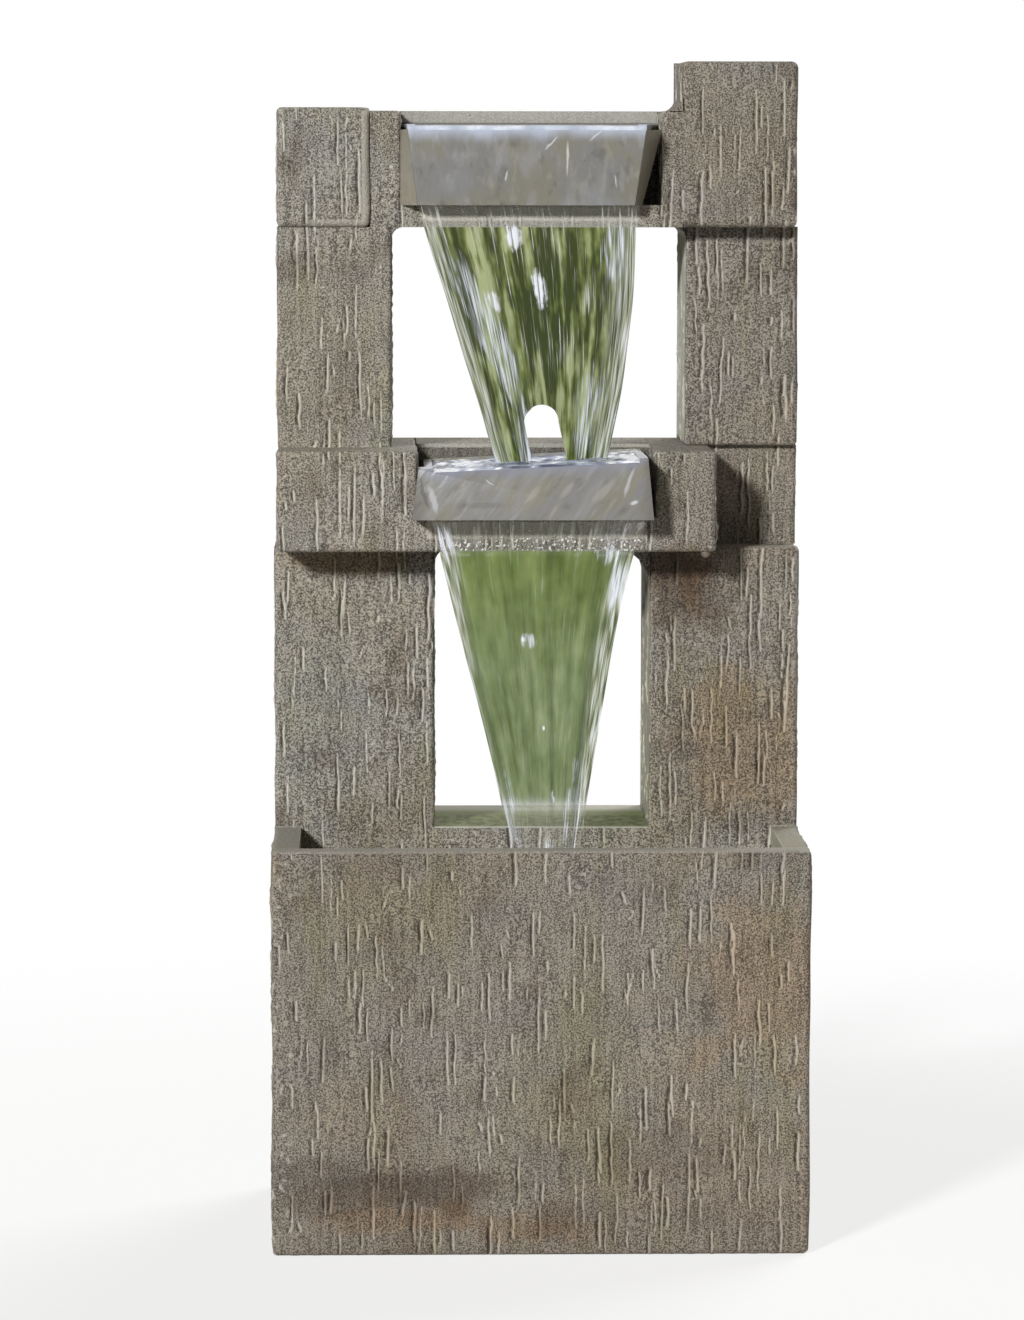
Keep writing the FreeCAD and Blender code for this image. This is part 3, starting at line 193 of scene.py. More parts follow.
class Value:
    """A number that changes over a surface, held as a node's output socket."""

    def __init__(self, sheet: "ShaderSheet", socket: NodeSocket) -> None:
        """Wrap a socket of a sheet."""
        self.sheet = sheet
        self.socket = socket

    def _math(self, operation: str, first: "Number", second: "Number", clamp: bool = False) -> "Value":
        """Add a Math node, which may hold its result between 0 and 1."""
        settings = {"operation": operation, "use_clamp": clamp}
        return self.sheet.value("ShaderNodeMath", settings, {0: first, 1: second})

    def __add__(self, other: "Number") -> "Value":
        """Add a number."""
        return self._math("ADD", self, other)

    def __radd__(self, other: "Number") -> "Value":
        """Be added to a number."""
        return self._math("ADD", other, self)

    def __sub__(self, other: "Number") -> "Value":
        """Take a number away."""
        return self._math("SUBTRACT", self, other)

    def __rsub__(self, other: "Number") -> "Value":
        """Be taken away from a number."""
        return self._math("SUBTRACT", other, self)

    def __mul__(self, other: "Number") -> "Value":
        """Multiply by a number."""
        return self._math("MULTIPLY", self, other)

    def __rmul__(self, other: "Number") -> "Value":
        """Multiply a number."""
        return self._math("MULTIPLY", other, self)

    def __truediv__(self, other: "Number") -> "Value":
        """Divide by a number."""
        return self._math("DIVIDE", self, other)

    def __pow__(self, other: "Number") -> "Value":
        """Raise to a power."""
        return self._math("POWER", self, other)

    def __abs__(self) -> "Value":
        """Drop the sign."""
        return self._math("ABSOLUTE", self, 0.0)

    def held(self) -> "Value":
        """Hold the number between 0 and 1."""
        return self._math("MULTIPLY", self, 1.0, clamp=True)

    def between(self, low: float, high: float) -> "Value":
        """Step smoothly from 0 to 1.

        Args:
            low: Where the step starts.
            high: Where the step ends; below low for a falling step.

        Returns:
            The stepped number.
        """
        settings = {"interpolation_type": "SMOOTHSTEP"}
        if low <= high:
            return self.sheet.value("ShaderNodeMapRange", settings, {0: self, 1: low, 2: high})
        return 1.0 - self.between(high, low)


Number = Union[Value, float]
Socket = Union[Value, NodeSocket, float, tuple, Vector]


class ShaderSheet:
    """The node sheet of a material or of the world."""

    def __init__(self, owner: Union[Material, World]) -> None:
        """Start an empty sheet.

        Args:
            owner: What the sheet belongs to.
        """
        owner.use_nodes = True
        self.owner = owner
        self.nodes = owner.node_tree.nodes
        self.links = owner.node_tree.links
        self.nodes.clear()
        self.place = self.node("ShaderNodeTexCoord", {}, {}).outputs["Object"]

    def node(self, kind: str, settings: dict, inputs: dict) -> Node:
        """Add a node.

        Args:
            kind: The node's type.
            settings: Its properties; "stops" gives a ramp's places and colours.
            inputs: Values or links for its sockets, by name or number.

        Returns:
            The new node.
        """
        node = self.nodes.new(kind)
        for name, setting in settings.items():
            if name == "stops":
                self._set_stops(node.color_ramp, setting)
            else:
                setattr(node, name, setting)
        for name, given in inputs.items():
            self._feed(node.inputs[name], given)
        return node

    def _feed(self, socket: NodeSocket, given: "Socket") -> None:
        """Link or set one socket.

        Args:
            socket: The socket.
            given: A value, another socket, a number or a colour.
        """
        if isinstance(given, Value):
            self.links.new(given.socket, socket)
        elif isinstance(given, NodeSocket):
            self.links.new(given, socket)
        elif socket.type == "RGBA":
            socket.default_value = (*given, 1.0)
        else:
            socket.default_value = given

    @staticmethod
    def _set_stops(ramp: ColorRamp, stops: Iterable[tuple[float, Colour]]) -> None:
        """Set a ramp's stops.

        Args:
            ramp: The ramp.
            stops: Places and colours, from low to high.
        """
        stops = list(stops)
        while len(ramp.elements) < len(stops):
            ramp.elements.new(1.0)
        for element, (place, colour) in zip(ramp.elements, stops):
            element.position = place
            element.color = (*colour, 1.0)

    def value(self, kind: str, settings: dict, inputs: dict, output: Union[int, str] = 0) -> Value:
        """Add a node and wrap one of its outputs."""
        return Value(self, self.node(kind, settings, inputs).outputs[output])

    def stretched(self, across: float, along: float, up: float) -> NodeSocket:
        """Scale the place by different amounts along X, Y and Z."""
        mapping = self.node("ShaderNodeMapping", {}, {"Vector": self.place, "Scale": (across, along, up)})
        return mapping.outputs["Vector"]

    def noise(self, scale: float, detail: float = 2.0, at: Union[Socket, None] = None) -> Value:
        """Add soft noise about 0.5, by its cells in a metre or in a unit of the place it is read at."""
        inputs = {"Vector": self.place if at is None else at, "Scale": scale, "Detail": detail}
        return self.value("ShaderNodeTexNoise", {}, inputs)

    def noise_at(self, x: Number, y: Number, z: Number, detail: float) -> Value:
        """Add soft noise that is read at a place made of three numbers."""
        place = self.node("ShaderNodeCombineXYZ", {}, {0: x, 1: y, 2: z})
        return self.noise(1.0, detail, place.outputs[0])

    def carried(self, name: str) -> Value:
        """Read a number that the mesh carries in an attribute."""
        return self.value("ShaderNodeAttribute", {"attribute_name": name}, {}, "Fac")

    def axes(self) -> tuple[Value, Value, Value]:
        """Give the place's X, Y and Z."""
        split = self.node("ShaderNodeSeparateXYZ", {}, {0: self.place})
        return tuple(Value(self, split.outputs[number]) for number in range(3))

    def mixed(self, share: Number, first: Socket, second: Socket, blend: str = "MIX") -> NodeSocket:
        """Mix two colours by the second one's share."""
        settings = {"data_type": "RGBA", "blend_type": blend}
        return self.node("ShaderNodeMix", settings, {0: share, 6: first, 7: second}).outputs[2]

    def layered(
        self, colour: Socket, layers: Iterable[tuple[Number, Socket]], blend: str = "MIX"
    ) -> NodeSocket:
        """Lay colours over a first one.

        Args:
            colour: The first colour.
            layers: The share and the colour of each layer, from the lowest up.
            blend: How each layer mixes with what is below it.

        Returns:
            The last mixed colour's socket.
        """
        for share, over in layers:
            colour = self.mixed(share, colour, over, blend)
        return colour

    def ramp(self, share: Number, stops: Iterable[tuple[float, Colour]]) -> NodeSocket:
        """Turn a number into a colour along a ramp."""
        return self.node("ShaderNodeValToRGB", {"stops": stops}, {0: share}).outputs["Color"]

    def bump(self, height: Value, depth: float, strength: float) -> NodeSocket:
        """Turn a height from 0 to 1, which measures some depth in metres, into a normal."""
        inputs = {"Height": height, "Distance": depth, "Strength": strength}
        return self.node("ShaderNodeBump", {}, inputs).outputs["Normal"]

    def surface(self, **inputs: Socket) -> Material:
        """Close the sheet with one surface shader.

        Args:
            inputs: The shader's sockets, with _ for a space.

        Returns:
            The finished material.
        """
        named = {name.replace("_", " "): given for name, given in inputs.items()}
        shader = self.node("ShaderNodeBsdfPrincipled", {}, named)
        self.node("ShaderNodeOutputMaterial", {}, {"Surface": shader.outputs[0]})
        return self.owner

    def blended(self, share: Number, first: Node, second: Node) -> Node:
        """Mix two shaders."""
        return self.node("ShaderNodeMixShader", {}, {0: share, 1: first.outputs[0], 2: second.outputs[0]})

    def seen(self) -> Value:
        """Tell rays from the camera, straight or by a reflection or through water, from light.

        Returns:
            1 for such a ray, or else 0.
        """
        path = self.node("ShaderNodeLightPath", {}, {})
        rays = ("Is Camera Ray", "Is Glossy Ray", "Is Transmission Ray")
        return sum(Value(self, path.outputs[ray]) for ray in rays).held()


# Finishes


class Finish(ABC):
    """A finish that makes its material once and hands it out."""

    made: dict[str, Material] = {}
    name: str
    slot: str

    @abstractmethod
    def draw(self, sheet: ShaderSheet) -> Material:
        """Draw the finish on an empty sheet."""

    def material(self) -> Material:
        """Give the material.

        Returns:
            The material, which is made on first use.
        """
        if self.name not in Finish.made:
            Finish.made[self.name] = self.draw(ShaderSheet(bpy.data.materials.new(self.name)))
        return Finish.made[self.name]

    def dress(self, piece: Object) -> None:
        """Give a piece this finish in place of any other."""
        piece.data.materials.clear()
        piece.data.materials.append(self.material())


@dataclass(frozen=True)
class StainAndShade:
    """A stained patch on the stone, or a patch of painted shade, with its middle and half sizes in metres."""

    x: float
    z: float
    half_width: float
    half_height: float
    tint: Colour
    strength: float

    def share(self, x: Value, z: Value, cloud: Value) -> Value:
        """Say how much of the patch shows.

        Args:
            x: The place from left to right.
            z: The height.
            cloud: Soft noise that breaks up its edge.

        Returns:
            The share, from 0 to 1.
        """
        across = abs(x - self.x) / self.half_width
        up = abs(z - self.z) / self.half_height
        spread = (across * across + up * up) ** 0.5
        return (spread + (cloud - 0.5) * 2.2).between(1.05, 0.45) * self.strength


@dataclass(frozen=True)
class WearAndPaintedLight:
    """A box of stone in another colour, by the corners of its box in metres: some are worn smooth or stained,
    and some are painted light or painted shade.
    """

    low: Triple
    high: Triple
    colour: Colour
    strength: float
    blur: float = 0.0006

    def share(self, *place: Value) -> Value:
        """Say how much of it shows.

        Args:
            place: The place from left to right, from front to back and up.

        Returns:
            The share, from 0 to 1.
        """
        shown = 1.0
        for spot, low, high in zip(place, self.low, self.high):
            half = (high - low) / 2
            shown = abs(spot - (low + high) / 2).between(half + self.blur, half) * shown
        return shown * self.strength


RUST: Colour = (1.00, 0.81, 0.60)
MUD: Colour = (0.50, 0.42, 0.36)
MOSS: Colour = (0.88, 0.91, 0.74)
BROWN: Colour = (0.76, 0.61, 0.47)


@dataclass(frozen=True)
class CastStone(Finish):
    """Cast stone with a pebbled skin, weathered in streaks, and paler along its edges, which also carries
    painted light and shade: in its grooves and on their banks, under the crossbeam, in boxes, and as glints on
    the wet strip.
    """

    name: str = "cast_stone"
    slot: str = "cast_stone"
    ground: Colour = (0.078, 0.072, 0.061)
    grain: Colour = (0.430, 0.405, 0.350)
    pale: Colour = (0.600, 0.582, 0.525)
    groove_shade_colour: Colour = (0.040, 0.034, 0.025)
    warm: Colour = (1.00, 0.96, 0.90)
    cool: Colour = (0.93, 0.95, 1.00)
    damp: Colour = (0.170, 0.205, 0.075)
    moss: Colour = (0.062, 0.060, 0.018)
    lining: Colour = (0.500, 0.490, 0.360)
    spray_glint: Colour = (0.86, 0.84, 0.80)
    stains_and_shade: tuple[StainAndShade, ...] = (
        StainAndShade(0.160, 0.205, 0.065, 0.070, RUST, 0.62),
        StainAndShade(-0.115, 0.050, 0.100, 0.022, MUD, 0.80),
        StainAndShade(-0.100, 0.028, 0.060, 0.014, RUST, 0.60),
        StainAndShade(0.000, 0.020, 0.060, 0.014, RUST, 0.50),
        StainAndShade(0.150, 0.360, 0.055, 0.070, RUST, 0.55),
        StainAndShade(0.108, 0.480, 0.045, 0.045, MUD, 0.85),
        StainAndShade(-0.125, 0.300, 0.040, 0.030, MUD, 0.30),
        StainAndShade(0.100, 0.080, 0.070, 0.025, MUD, 0.30),
        StainAndShade(-0.130, 0.240, 0.070, 0.050, MOSS, 0.35),
        StainAndShade(0.020, 0.130, 0.060, 0.080, MOSS, 0.35),
        StainAndShade(-0.165, 0.400, 0.030, 0.080, MOSS, 0.30),
        StainAndShade(-0.115, 0.610, 0.012, 0.040, MOSS, 0.50),
        # Painted shade: the brown shadow under the left end of the crossbeam.
        StainAndShade(-0.140, 0.503, 0.060, 0.014, BROWN, 0.85),
        StainAndShade(0.112, 0.495, 0.030, 0.030, BROWN, 0.60),
        StainAndShade(0.116, 0.478, 0.011, 0.036, RUST, 0.60),
    )
    # Boxes worn smooth or stained, and boxes of painted light and shade; each painted one is marked.
    smooth: tuple[WearAndPaintedLight, ...] = (
        WearAndPaintedLight((-0.131, 0.000, 0.752), (-0.125, 0.004, 0.838), (0.540, 0.510, 0.440), 0.55),
        WearAndPaintedLight((-0.172, 0.000, 0.752), (-0.131, 0.004, 0.757), (0.540, 0.510, 0.440), 0.45),
        WearAndPaintedLight((-0.101, 0.064, 0.822), (0.092, 0.070, 0.840), (0.420, 0.410, 0.375), 0.70),
        # Painted shade: a dark line behind the upper tray's lip, standing for the dark reflection in the water
        # there.
        WearAndPaintedLight((-0.101, 0.064, 0.822), (0.092, 0.070, 0.8290), (0.070, 0.075, 0.095), 0.65),
        # Painted shade: a dark band on the face behind the lower pool.
        WearAndPaintedLight((-0.089, 0.049, 0.570), (0.086, 0.052, 0.5840), (0.060, 0.055, 0.045), 0.60),
        WearAndPaintedLight((-0.089, 0.049, 0.5845), (0.086, 0.052, 0.588), (0.500, 0.490, 0.430), 0.50),
        # Painted light: the strip under the upper tray made paler to take out the tray's cast shadow.
        WearAndPaintedLight((-0.085, 0.003, 0.752), (0.075, 0.006, 0.7675), (0.470, 0.450, 0.405), 0.40),
        WearAndPaintedLight((-0.085, 0.003, 0.758), (0.075, 0.006, 0.7675), (0.840, 0.800, 0.720), 0.55, 0.003),
        # Painted light: the upper half of the wet strip under the lower tray made paler to take out the tray's
        # cast shadow.
        WearAndPaintedLight((-0.082, -0.0475, 0.5235), (0.078, -0.0425, 0.5375), (0.820, 0.760, 0.650), 0.50, 0.003),
        WearAndPaintedLight((0.177, -0.113, 0.2985), (0.1985, 0.004, 0.3010), (0.440, 0.455, 0.350), 0.34),
        WearAndPaintedLight((-0.1985, -0.113, 0.2985), (-0.177, 0.004, 0.3010), (0.400, 0.410, 0.350), 0.32),
        WearAndPaintedLight((-0.1985, -0.1290, 0.2988), (0.1985, -0.112, 0.3010), (0.500, 0.480, 0.430), 0.35),
        # Partly algae and partly painted light: the inner faces of the right-hand posts made pale green where
        # the key light falls on them.
        WearAndPaintedLight((0.111, 0.030, 0.590), (0.113, 0.122, 0.750), (0.560, 0.570, 0.480), 0.75),
        WearAndPaintedLight((0.084, 0.005, 0.304), (0.086, 0.122, 0.508), (0.500, 0.510, 0.410), 0.35),
        WearAndPaintedLight((0.1133, 0.000, 0.476), (0.1140, 0.004, 0.500), (0.055, 0.036, 0.022), 0.65, 0.0015),
        WearAndPaintedLight((0.1955, 0.000, 0.375), (0.1985, 0.006, 0.508), (0.300, 0.315, 0.275), 0.50, 0.0010),
    )
    wet_middle: tuple[float, float] = (0.0, 0.525)
    wet_half: tuple[float, float] = (0.080, 0.012)
    wet_front: float = -0.040

    def draw(self, sheet: ShaderSheet) -> Material:
        """Draw the stone.

        Args:
            sheet: An empty sheet.

        Returns:
            The material.
        """
        x, y, z = sheet.axes()
        pebble = sheet.noise(800.0, 1.0) * 0.6 + sheet.noise(1550.0, 1.0) * 0.4
        fibre = sheet.noise(1.0, 2.0, sheet.stretched(330.0, 330.0, 30.0))
        smear = sheet.noise(1.0, 3.0, sheet.stretched(42.0, 42.0, 9.0))
        patch = sheet.noise(1.0, 3.0, sheet.stretched(16.0, 16.0, 24.0))
        cloud = sheet.noise(24.0, 6.0)
        broad = sheet.noise(7.0, 2.0)
        crumb = sheet.noise(270.0, 1.0).between(0.68, 0.74) * cloud.between(0.40, 0.55)
        relief = sheet.carried("relief")
        edge = sheet.carried("edge")
        wet = abs(x - self.wet_middle[0]).between(self.wet_half[0], self.wet_half[0] * 0.85)
        wet = wet * abs(z - self.wet_middle[1]).between(self.wet_half[1] * 1.1, self.wet_half[1])
        wet = wet * y.between(self.wet_front, self.wet_front - 0.003)
        front_rim = y.between(-0.100, -0.110)

        speck = (pebble - 0.5) * (0.75 + cloud * 0.6) + (fibre - 0.5) * 0.20
        # Painted shade darkens the grooves, with some dirt in them, and a painted highlight pales the raised
        # banks beside them, with some wear.
        groove_shade = (relief * -1.0).between(0.10, 0.70)
        bank = relief.between(0.14, 0.46)
        apron = abs(x).between(0.178, 0.177) * y.between(0.000, 0.001) * y.between(0.020, 0.018)
        chipped = x.between(-0.165, -0.1965) * z.between(0.302, 0.296) * front_rim
        chipped = chipped * sheet.noise(170.0, 3.0).between(0.56, 0.70)
        sill = abs(z - 0.300).between(0.0008, 0.0004) * abs(x - 0.004).between(0.081, 0.080)
        sill = sill * y.between(0.0, 0.001)
        tufts = sheet.noise(1.0, 3.0, sheet.stretched(150.0, 60.0, 150.0)).between(0.42, 0.60)
        lined = abs(x).between(0.1784, 0.1780) * y.between(-0.1128, -0.1122) * y.between(0.0010, 0.0005)
        # Painted glints: white sparkles on the wet strip under the lower tray.
        glitter = sheet.noise(560.0, 1.0).between(0.60, 0.70) * z.between(0.540, 0.512) * wet

        colour = sheet.mixed(speck.between(-0.115, 0.115) * (1.0 - wet * 0.5), self.ground, self.grain)
        colour = sheet.layered(colour, (
            # painted shade in the grooves, painted highlight on their banks
            (groove_shade * 0.85, self.groove_shade_colour),
            (bank * 0.90, self.pale),
            (crumb * 0.75, self.pale),
            (edge.between(0.45, 0.95) * (0.15 + cloud * 0.45), self.pale),
        ))
        colour = sheet.layered(colour, (
            (broad.between(0.40, 0.62), self.warm),
            (patch.between(0.48, 0.64), self.cool),
            (smear.between(0.52, 0.68) * 0.50, MOSS),
            (cloud.between(0.52, 0.70) * 0.55, MUD),
            # These three only darken by place: below the basin's rim, on the right of the tower above the
            # basin, and towards the basin's foot.
            (z.between(0.330, 0.290) * (1.0 - apron) * 0.46, MUD),
            (x.between(0.070, 0.110) * z.between(0.280, 0.310) * 0.34, MUD),
            (z.between(0.120, 0.020) * 0.30, MUD),
            *((tint_patch.share(x, z, cloud), tint_patch.tint) for tint_patch in self.stains_and_shade),
        ), "MULTIPLY")
        colour = sheet.layered(colour, (
            (chipped * 0.5, self.pale),
            (sill * (0.45 + smear * 0.8), self.damp),
            (sill * tufts * y.between(0.080, 0.066) * 0.65, self.moss),
            (sill * (y.between(0.010, 0.006) + y.between(0.085, 0.115)) * 0.7, self.pale),
            (lined * z.between(0.302, 0.2996) * (0.30 + cloud * 0.5), self.lining),
            *((worn.share(x, y, z) * (0.7 + cloud * 0.5), worn.colour) for worn in self.smooth),
            (glitter, self.spray_glint),
        ))
        return sheet.surface(
            Base_Color=colour,
            Roughness=0.80 + (pebble - 0.5) * 0.3 - wet * 0.5,
            Specular_IOR_Level=0.35,
            Normal=sheet.bump(pebble * 0.8 + fibre * 0.25 + crumb * 0.6, 0.0012, 0.8),
        )


@dataclass(frozen=True)
class Trickle:
    """A run of water, a streak, a painted highlight or a stripe of painted shade down a tray's face, with its
    middle and half sizes in metres.
    """

    x: float
    z: float
    half_width: float
    half_height: float
    lean: float = 0.0
    colour: Colour = (0.70, 0.72, 0.74)
    strength: float = 0.75

    def share(self, x: Value, z: Value) -> Value:
        """Say how much of the run shows.

        Args:
            x: The place from left to right.
            z: The height.

        Returns:
            The share, from 0 to 1.
        """
        up = (z - self.z) / self.half_height
        side = (x - self.x - (z - self.z) * self.lean) / self.half_width
        return (side * side + up * up).between(1.0, 0.1) * self.strength


# The noises of a tray's face: blotch, drift, mottle, brush and ripple, each with its cells in a metre
# from side to side and in a metre of height, and with its detail.
TRAY_NOISES = ((38.0, 20.0, 2.0), (60.0, 24.0, 2.0), (95.0, 70.0, 3.0), (150.0, 55.0, 4.0), (120.0, 45.0, 2.0))


@dataclass(frozen=True)
class WetStone(Finish):
    """Smooth stone of a tray under a film of water, in soft blotches that run down it, with painted
    reflections on the water and painted shade at its ends.
    """

    name: str
    lip: float
    slope: float = 0.0
    half_length: float = 0.2
    trickles: tuple[Trickle, ...] = ()
    slot: str = "tray_stone"
    grey: Colour = (0.205, 0.203, 0.198)
    beige: Colour = (0.214, 0.202, 0.158)
    shade: Colour = (0.128, 0.120, 0.108)
    blue: Colour = (0.330, 0.345, 0.375)
    bright: Colour = (0.350, 0.340, 0.315)
    film: Colour = (0.530, 0.590, 0.720)
    sheen: float = 0.45
    lean: float = 0.0

    def draw(self, sheet: ShaderSheet) -> Material:
        """Draw the wet stone.

        Args:
            sheet: An empty sheet.

        Returns:
            The material.
        """
        x, y, z = sheet.axes()
        run = x - z * self.lean
        blotch, drift, mottle, brush, ripple = (
            sheet.noise_at(run * wide, y * wide, z * tall, detail) for wide, tall, detail in TRAY_NOISES
        )
        grit = sheet.noise(900.0, 1.0)
        front = y.between(-0.008, -0.012)
        ends = abs(x + 0.005).between(self.half_length - 0.014, self.half_length - 0.002)
        level = z - x * self.slope + (drift - 0.5) * 0.012 - ends * 0.006
        bent = x + (brush - 0.5) * 0.006

        colour = sheet.mixed(blotch.between(0.40, 0.62), self.grey, self.beige)
        colour = sheet.layered(colour, (
            (mottle.between(0.52, 0.72) * 0.75, self.shade),
            (brush.between(0.52, 0.70) * 0.45, self.bright),
            # Painted reflections: the blue sheen here and the pale band of the film at the lip below.
            (drift.between(0.50, 0.70) * self.sheen, self.blue),
            ((grit - 0.5).between(0.05, 0.25) * 0.25, self.beige),
            # Painted shade at the tray's ends.
            (ends * front * 0.8, self.shade),
            (level.between(self.lip - 0.013, self.lip) * front * 0.85, self.film),
            *((trickle.share(bent, z) * front, trickle.colour) for trickle in self.trickles),
        ))
        return sheet.surface(
            Base_Color=colour,
            Roughness=0.22 + blotch * 0.22,
            Coat_Weight=0.35 + drift * 0.5,
            Coat_Roughness=0.08,
            Normal=sheet.bump(ripple * 0.8 + mottle * 0.3 + grit * 0.08, 0.0016, 0.5),
        )


@dataclass(frozen=True)
class Glint:
    """A patch of a fall, by its place across and down the fall and its half sizes: a bright fleck or bundle
    painted as a highlight, or a gloom painted darker.
    """

    across: float
    down: float
    half_width: float
    half_height: float
    slant: float = 0.0

    def share(self, across: Value, down: Value, ragged: Value) -> Value:
        """Say how much of the fleck shows.

        Args:
            across: The place across the fall, from -1 to 1.
            down: The place down the fall, from 0 to 1.
            ragged: Noise that tears its outline.

        Returns:
            The share, from 0 to 1.
        """
        drop = down - self.down
        side = (across - self.across - drop * self.slant) / self.half_width
        drop = drop / self.half_height
        return (side * side + drop * drop + (ragged - 0.5) * 3.0).between(1.5, 0.2)


# The noises of a fall: column, streak, mottle, thread, hair and tear, each with its cells in a column and
# in the whole drop, what sets it apart from the others, and its detail.
FALL_NOISES = (
    (1.0, 1.6, 3.0, 1.0), (2.4, 3.6, 7.0, 1.0), (1.5, 9.0, 13.0, 2.0),
    (5.5, 4.5, 19.0, 1.0), (13.0, 7.0, 29.0, 1.0), (4.0, 26.0, 37.0, 2.0),
)


@dataclass(frozen=True)
class FallWater(Finish):
    """Falling water: green where the view is open behind it, as a painted view of green beyond the water,
    clear before stone, and glassy at its edges as painted reflections, with painted highlights in its white
    flecks, bundles and threads.
    """

    name: str
    open_from: float
    open_to: float
    deep: Colour
    green: Colour
    bright: Colour
    contrast: float
    columns: float
    left_rim: tuple[float, float]
    right_rim: tuple[float, float]
    threads: float
    flecks: tuple[Glint, ...]
    bundles: tuple[Glint, ...] = ()
    glooms: tuple[Glint, ...] = ()
    head: Colour = (1.0, 1.0, 1.0)
    broken: float = 1.0
    slot: str = "water"
    shade: Colour = (0.060, 0.070, 0.032)
    glass: Colour = (0.250, 0.280, 0.180)
    strand: Colour = (0.490, 0.505, 0.455)
    pale_reflection: Colour = (0.600, 0.640, 0.700)
    white: Colour = (0.800, 0.830, 0.910)

    def draw(self, sheet: ShaderSheet) -> Material:
        """Draw the water.

        Args:
            sheet: An empty sheet.

        Returns:
            The material.
        """
        across, down = sheet.carried("across"), sheet.carried("fall")
        column, streak, mottle, thread, hair, tear = (
            sheet.noise_at(across * (self.columns * wide), down * tall * self.broken + shift, shift, detail)
            for wide, tall, shift, detail in FALL_NOISES
        )
        drift = (column - 0.5) * 0.35
        rim = (drift - across).between(*self.left_rim) + (drift + across).between(*self.right_rim)
        view = down.between(self.open_from - 0.004, self.open_from + 0.004)
        view = view * down.between(self.open_to + 0.02, self.open_to - 0.03)
        lines = 0.5 + (thread - 0.5) * 1.3 + (hair - 0.5) * 0.9
        bundle, fleck, gloom = (
            sum((glint.share(across, down, ragged) for glint in glints), column * 0.0)
            for glints, ragged in ((self.bundles, mottle), (self.flecks, tear), (self.glooms, streak))
        )
        flash = bundle * lines.between(0.52, 0.72) * 0.65 + fleck * (0.25 + lines.between(0.36, 0.60) * 0.75)
        flash = (flash + lines.between(0.74, 0.92) * self.threads * 1.6).held()

        tone = (column - 0.5) * 1.2 + (streak - 0.5) * 1.0 + (mottle - 0.5) * 1.0
        tone = 0.5 - gloom * 0.22 + tone * self.contrast
        # The green ramp, its head tint and the glooms are a painted view of green beyond the water.
        colour = sheet.ramp(tone, [(0.24, self.deep), (0.50, self.green), (0.80, self.bright)])
        colour = sheet.mixed(down.between(0.34, 0.06), colour, self.head, "MULTIPLY")
        stops = [(0.26, self.shade), (0.44, self.glass), (0.60, self.strand), (0.82, self.white)]
        glassy = sheet.ramp(lines, stops)
        # Painted reflections at the glassy rims and before stone, and painted highlights in the threads, the
        # bundles and the flash.
        colour = sheet.layered(colour, (
            (rim.held() * 0.92, glassy),
            (lines.between(0.60, 0.82) * self.threads, self.strand),
            ((1.0 - view) * 0.85, self.strand),
            ((bundle * (0.12 + lines.between(0.40, 0.58) * 0.6)).held(), self.pale_reflection),
            (flash, self.white),
        ))

        solid = 0.98 - rim.held() * 0.10
        film = 0.05 + lines.between(0.58, 0.80) * (0.15 + rim.held() * 0.70) + flash * 0.5
        return sheet.surface(
            Base_Color=colour,
            Roughness=0.06 + streak * 0.06,
            IOR=1.33,
            Alpha=(film + (solid - film) * view).held(),
            Normal=sheet.bump(streak * 0.5 + thread * 0.35 + mottle * 0.2, 0.003, 0.5),
        )


@dataclass(frozen=True)
class PoolWater(Finish):
    """Rippled water standing in a tray or in the basin, whose ripples carry painted reflections and painted
    sparkles.
    """

    name: str = "pool_water"
    slot: str = "water"
    low: Colour = (0.095, 0.110, 0.165)
    high: Colour = (0.470, 0.530, 0.680)
    white: Colour = (0.93, 0.95, 1.00)
    alpha: float = 0.96
    scale: float = 70.0
    sparkle: float = 0.3
    shine: float = 0.5
    foam: float = 0.0

    def draw(self, sheet: ShaderSheet) -> Material:
        """Draw the pool.

        Args:
            sheet: An empty sheet.

        Returns:
            The material.
        """
        swell = sheet.noise(1.0, 2.0, sheet.stretched(self.scale, self.scale * 0.6, self.scale))
        spark = sheet.noise(self.scale * 3.2, 1.0)
        crest = swell + (spark - 0.5) * 0.5 + abs(sheet.axes()[0]).between(0.020, 0.085) * self.foam
        # Painted reflections in the ripples and painted sparkles on their crests; the foam term whitens the
        # crests away from the middle.
        colour = sheet.mixed(swell.between(0.34, 0.62), self.low, self.high)
        colour = sheet.mixed(crest.between(0.56, 0.68) * self.sparkle, colour, self.white)
        return sheet.surface(
            Base_Color=colour,
            Roughness=0.06 + swell * 0.05,
            IOR=1.33,
            Specular_IOR_Level=self.shine,
            Alpha=self.alpha,
            Normal=sheet.bump(swell * 0.7 + spark * 0.2, 0.002, 0.5),
        )


@dataclass(frozen=True)
class Moulded(Finish):
    """A moulded, turned or drawn surface with a fine grain and slight changes of tone."""

    name: str
    slot: str
    colour: Colour
    tone: Colour
    roughness: float
    grain: float = 900.0
    depth: float = 0.0002
    metallic: float = 0.0
    stretch: Triple = (1.0, 1.0, 1.0)

    def draw(self, sheet: ShaderSheet) -> Material:
        """Draw the surface.

        Args:
            sheet: An empty sheet.

        Returns:
            The material.
        """
        grain = sheet.noise(self.grain, 2.0, sheet.stretched(*self.stretch))
        cloud = sheet.noise(60.0, 3.0)
        colour = sheet.mixed(cloud.between(0.35, 0.7), self.colour, self.tone)
        colour = sheet.mixed(grain.between(0.55, 0.8) * 0.35, colour, self.tone)
        return sheet.surface(
            Base_Color=colour,
            Metallic=self.metallic,
            Roughness=self.roughness + (grain - 0.5) * 0.25 + (cloud - 0.5) * 0.15,
            Normal=sheet.bump(grain, self.depth, 0.6),
        )


